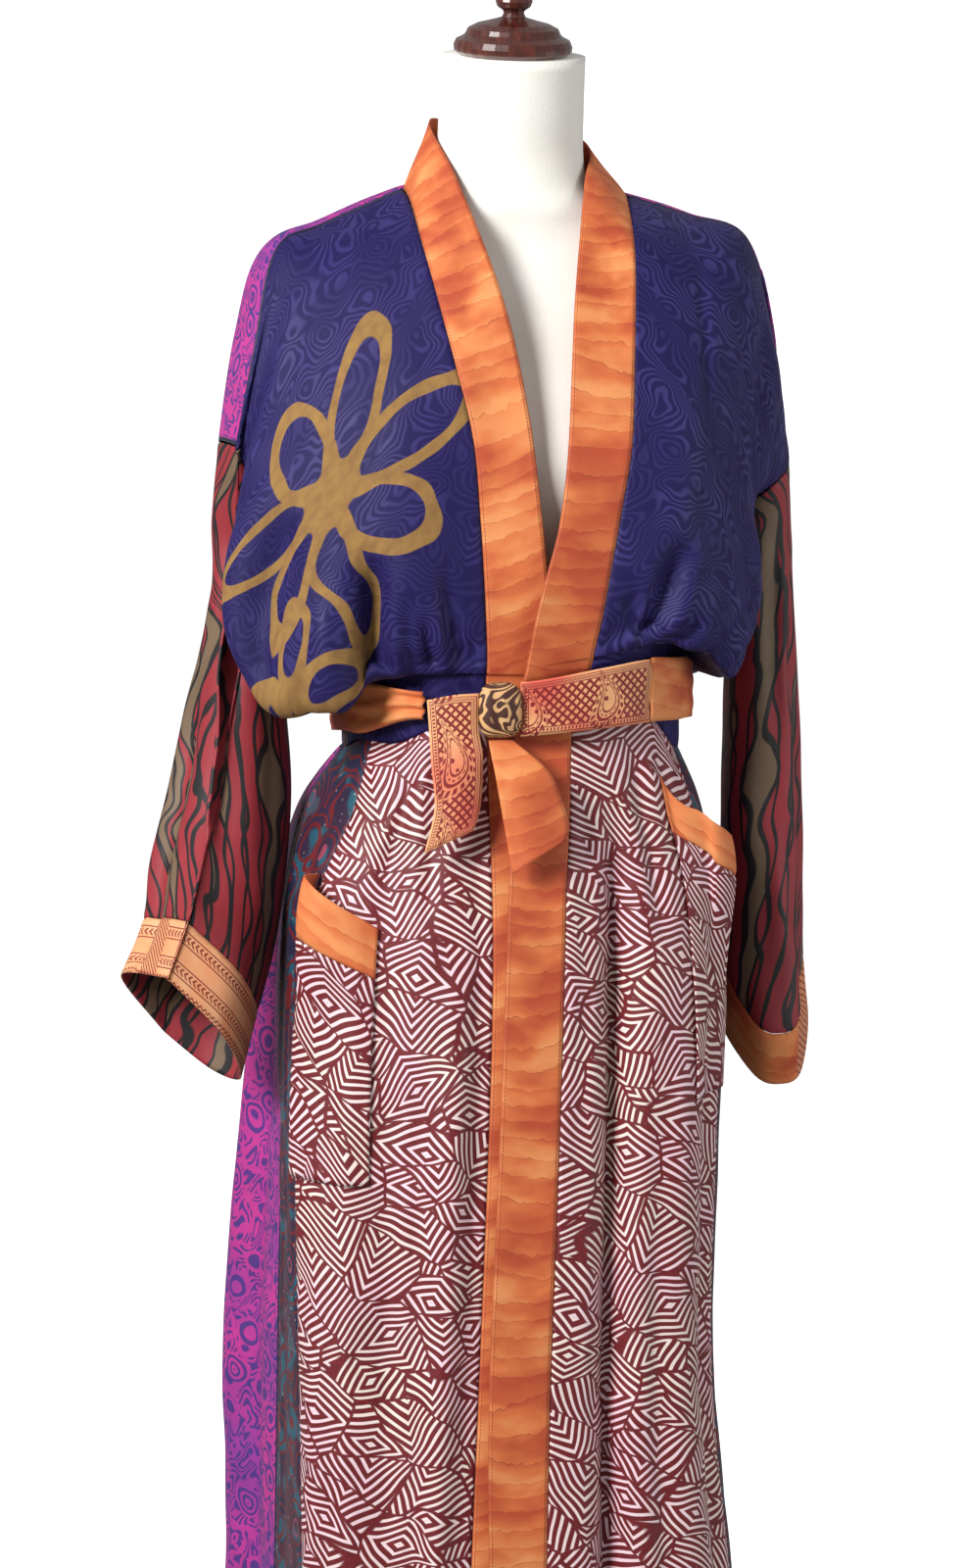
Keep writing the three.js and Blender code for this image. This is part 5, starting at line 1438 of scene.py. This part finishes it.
def gathered(plan, edges, rows, depth):
    """A strip of the belt with lengthways gathers, deeper towards the knot."""
    surface = belt_surface(plan, edges)

    def face(u, v):
        share = np.asarray(u, float) / (len(plan) - 1)
        near = np.exp(-((share / KNOT_REACH) ** 2))
        sway = BELT_SWAY * np.sin(share * BELT_PUCKERS) * (1 - near)
        turns = np.asarray(v, float) * rows * math.pi + sway
        turns = turns + KNOT_FLUTTER * near * np.sin(share * FLUTTER_TURN)
        wave = np.sin(turns) * (BELT_GATHER + KNOT_GATHER * near)
        out = surface(u, v)
        normal = slopes(surface, u, v)
        out_side = np.sign((normal * unit(out * (1, 1, 0))).sum())
        return out + normal * (out_side * depth * wave)[..., None]

    return face


BELT_DOWN = (0, 1, 46)
sew("belt_plain", gathered(BELT_PLAN, BELT_EDGES, 5, 0.9), ((0, len(BELT_PLAN) - 1, 700), BELT_DOWN),
    batik_plain, "orange_batik", held="stretched", rests="bodice_back_cloth", height=0.6)
sew("belt_print", gathered(BELT_PRINT, PRINT_EDGES, 2, 0.5), ((0, len(BELT_PRINT) - 1, 110), BELT_DOWN),
    sash, "coral_print", held="stretched", rests="neckband_left_cloth", gaps="ab", height=0.4)
for name, table, material, slot in (
    ("belt_tail_print", TAIL_PRINT, sash_tail, "coral_print"),
    ("belt_tail_plain", TAIL_PLAIN, batik_plain, "orange_batik"),
):
    sew(name, loft(table), ((0, 2, 44), (0, len(table) - 1, 120)), material, slot, held="hung",
        rests="belt_knot_cloth", height=0.5)

KNOT_X, KNOT_Y, KNOT_Z = -29.4, -149, 1045
KNOT_HALF_X, KNOT_HALF_Y, KNOT_HALF_Z = 16.5, 9, 21
KNOT_SQUARE = 3.2
KNOT_CREASE = 0.07
KNOT_RINGS = 56
KNOT_SIDES = 108


def knot():
    """The wrapped middle of the belt: a flat lump, nearly square from the front, with upright creases."""
    tilt = np.linspace(0, math.pi, KNOT_RINGS)[:, None]
    turn = np.linspace(0, 2 * math.pi, KNOT_SIDES + 1)[None, :-1]
    across, deep = np.sin(tilt) * np.cos(turn), np.sin(tilt) * np.sin(turn)
    up = np.cos(tilt) * np.ones_like(turn)
    size = np.abs(across) ** KNOT_SQUARE + np.abs(deep) ** 2 + np.abs(up) ** KNOT_SQUARE
    spread = size ** (-1 / KNOT_SQUARE)
    crease = 1 + KNOT_CREASE * np.sin(9 * across + 1.2 * up) * np.abs(deep)
    x = KNOT_X + KNOT_HALF_X * across * spread
    y = KNOT_Y + KNOT_HALF_Y * deep * spread * crease
    z = KNOT_Z + KNOT_HALF_Z * up * spread
    grid = np.stack([x, y, z], -1)
    rows, columns = grid.shape[:2]
    index = np.arange(rows * columns).reshape(rows, columns)
    right = np.roll(index, -1, axis=1)
    faces = quads_of(index, closed=True)[1:-1, :, [0, 3, 2, 1]].reshape(-1, 4).tolist()
    faces += [[index[0, 0], *pair] for pair in zip(index[1].tolist(), right[1].tolist())]
    faces += [[*pair[::-1], index[-1, 0]] for pair in zip(index[-2].tolist(), right[-2].tolist())]
    made = mesh_object("belt_knot_cloth", grid.reshape(-1, 3), faces, knot_wrap)
    places = np.stack([arc(grid, 1), arc(grid, 0)], -1).reshape(-1, 2)
    put_uv(made, "flat", places)
    stand_in(made, "belt_knot", "coral_print")


knot()

# Dress form

TORSO_SIDES = 96
TORSO_RINGS = 110


def torso():
    """The smooth padded form, finer than its solid."""
    rows = []
    turn = np.linspace(0, 2 * math.pi, TORSO_SIDES + 1)[:-1]
    stations = np.array(TORSO_ROWS, float)
    profile = curve(stations[:, [0, 1, 2]])
    backs = curve(stations[:, [0, 3, 3]])
    for t in np.linspace(0, len(stations) - 1, TORSO_RINGS):
        z, half, front = profile(np.array(t))
        rear = backs(np.array(t))[1]
        power = TORSO_POWER + (1 - TORSO_POWER) * smooth((z - ROUND_FROM_Z) / ROUND_RISE)
        depth, middle = (rear - front) / 2, (rear + front) / 2
        x = np.sign(np.cos(turn)) * np.abs(np.cos(turn)) ** power * half
        y = np.sign(np.sin(turn)) * np.abs(np.sin(turn)) ** power * depth
        lean = NECK_LEAN * smooth((z - LEAN_START) / (NECK_TOP_Z - LEAN_START))
        rows.append(np.stack([x, middle + y, z + lean * y], -1))
    grid = np.array(rows)
    height, columns = grid.shape[:2]
    index = np.arange(height * columns).reshape(height, columns)
    faces = quads_of(index, closed=True).reshape(-1, 4).tolist()
    faces += [index[0][::-1].tolist(), index[-1].tolist()]
    made = mesh_object("form_torso_cover", grid.reshape(-1, 3), faces, form_cover())
    stand_in(made, "form_torso", "form_cover")


torso()

# The CAD nodes of the stand, with their rings smoothed and the varnish on them.
wood = dark_wood()
for node in ("form_cap", "form_finial", "form_pole", "form_base"):
    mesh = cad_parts[node].data
    mesh.materials.clear()
    mesh.materials.append(wood)
    mesh.polygons.foreach_set("use_smooth", [True] * len(mesh.polygons))

# Floor, light and camera

def plain_white(name, glow):
    """A matt white that also glows a little, so that the studio has no horizon."""
    made = bpy.data.materials.new(name)
    made.use_nodes = True
    shader = made.node_tree.nodes["Principled BSDF"]
    shader.inputs["Base Color"].default_value = (0.9, 0.9, 0.9, 1)
    shader.inputs["Roughness"].default_value = 0.9
    shader.inputs["Emission Color"].default_value = (1, 1, 1, 1)
    shader.inputs["Emission Strength"].default_value = glow
    return made


def stage_piece(made, name, material):
    made.name = name
    made.data.materials.append(material)
    made.visible_diffuse = False
    made.visible_glossy = False


bpy.ops.mesh.primitive_plane_add(size=60, location=(0, 0, 0))
stage_piece(bpy.context.object, "studio_floor", plain_white("studio_floor", 0.75))
bpy.ops.mesh.primitive_uv_sphere_add(radius=28, location=(0, 0, 0), segments=48, ring_count=24)
stage_piece(bpy.context.object, "studio_backdrop", plain_white("studio_backdrop", 1.0))

world = bpy.data.worlds.new("studio")
bpy.context.scene.world = world
world.use_nodes = True
world.node_tree.nodes["Background"].inputs["Color"].default_value = (1, 1, 1, 1)
world.node_tree.nodes["Background"].inputs["Strength"].default_value = 0.31


def area_light(name, place, target, size, power):
    light = bpy.data.lights.new(name, "AREA")
    light.size = size
    light.energy = power
    lamp = bpy.data.objects.new(name, light)
    lamp.location = place
    lamp.rotation_euler = (Vector(target) - Vector(place)).to_track_quat("-Z", "Y").to_euler()
    bpy.context.scene.collection.objects.link(lamp)


area_light("window_light", (-2.4, -2.0, 2.6), (0, 0, 1.1), 1.1, 165)
area_light("fill_light", (2.6, -1.4, 1.4), (0, 0, 0.9), 1.8, 30)

# The camera stands 2.6 m from the pole's axis, 8 degrees to the wearer's right and 8 degrees above level.
AZIMUTH = math.radians(-8)
ELEVATION = math.radians(8)
DISTANCE = 2.6
AIM_HEIGHT = 0.968
AIM_RIGHT = -0.0218
right_axis = Vector((math.cos(AZIMUTH), math.sin(AZIMUTH), 0))
back_axis = Vector((math.sin(AZIMUTH) * math.cos(ELEVATION), -math.cos(AZIMUTH) * math.cos(ELEVATION),
                    math.sin(ELEVATION)))
aim = Vector((0, 0, AIM_HEIGHT)) + right_axis * AIM_RIGHT
camera_data = bpy.data.cameras.new("camera")
camera_data.sensor_fit = "VERTICAL"
camera_data.sensor_height = 36
camera_data.lens = 75
camera = bpy.data.objects.new("camera", camera_data)
camera.location = aim + back_axis * DISTANCE
camera.rotation_euler = (-back_axis).to_track_quat("-Z", "Y").to_euler()
bpy.context.scene.collection.objects.link(camera)
bpy.context.scene.camera = camera
bpy.context.scene.view_settings.view_transform = "Standard"
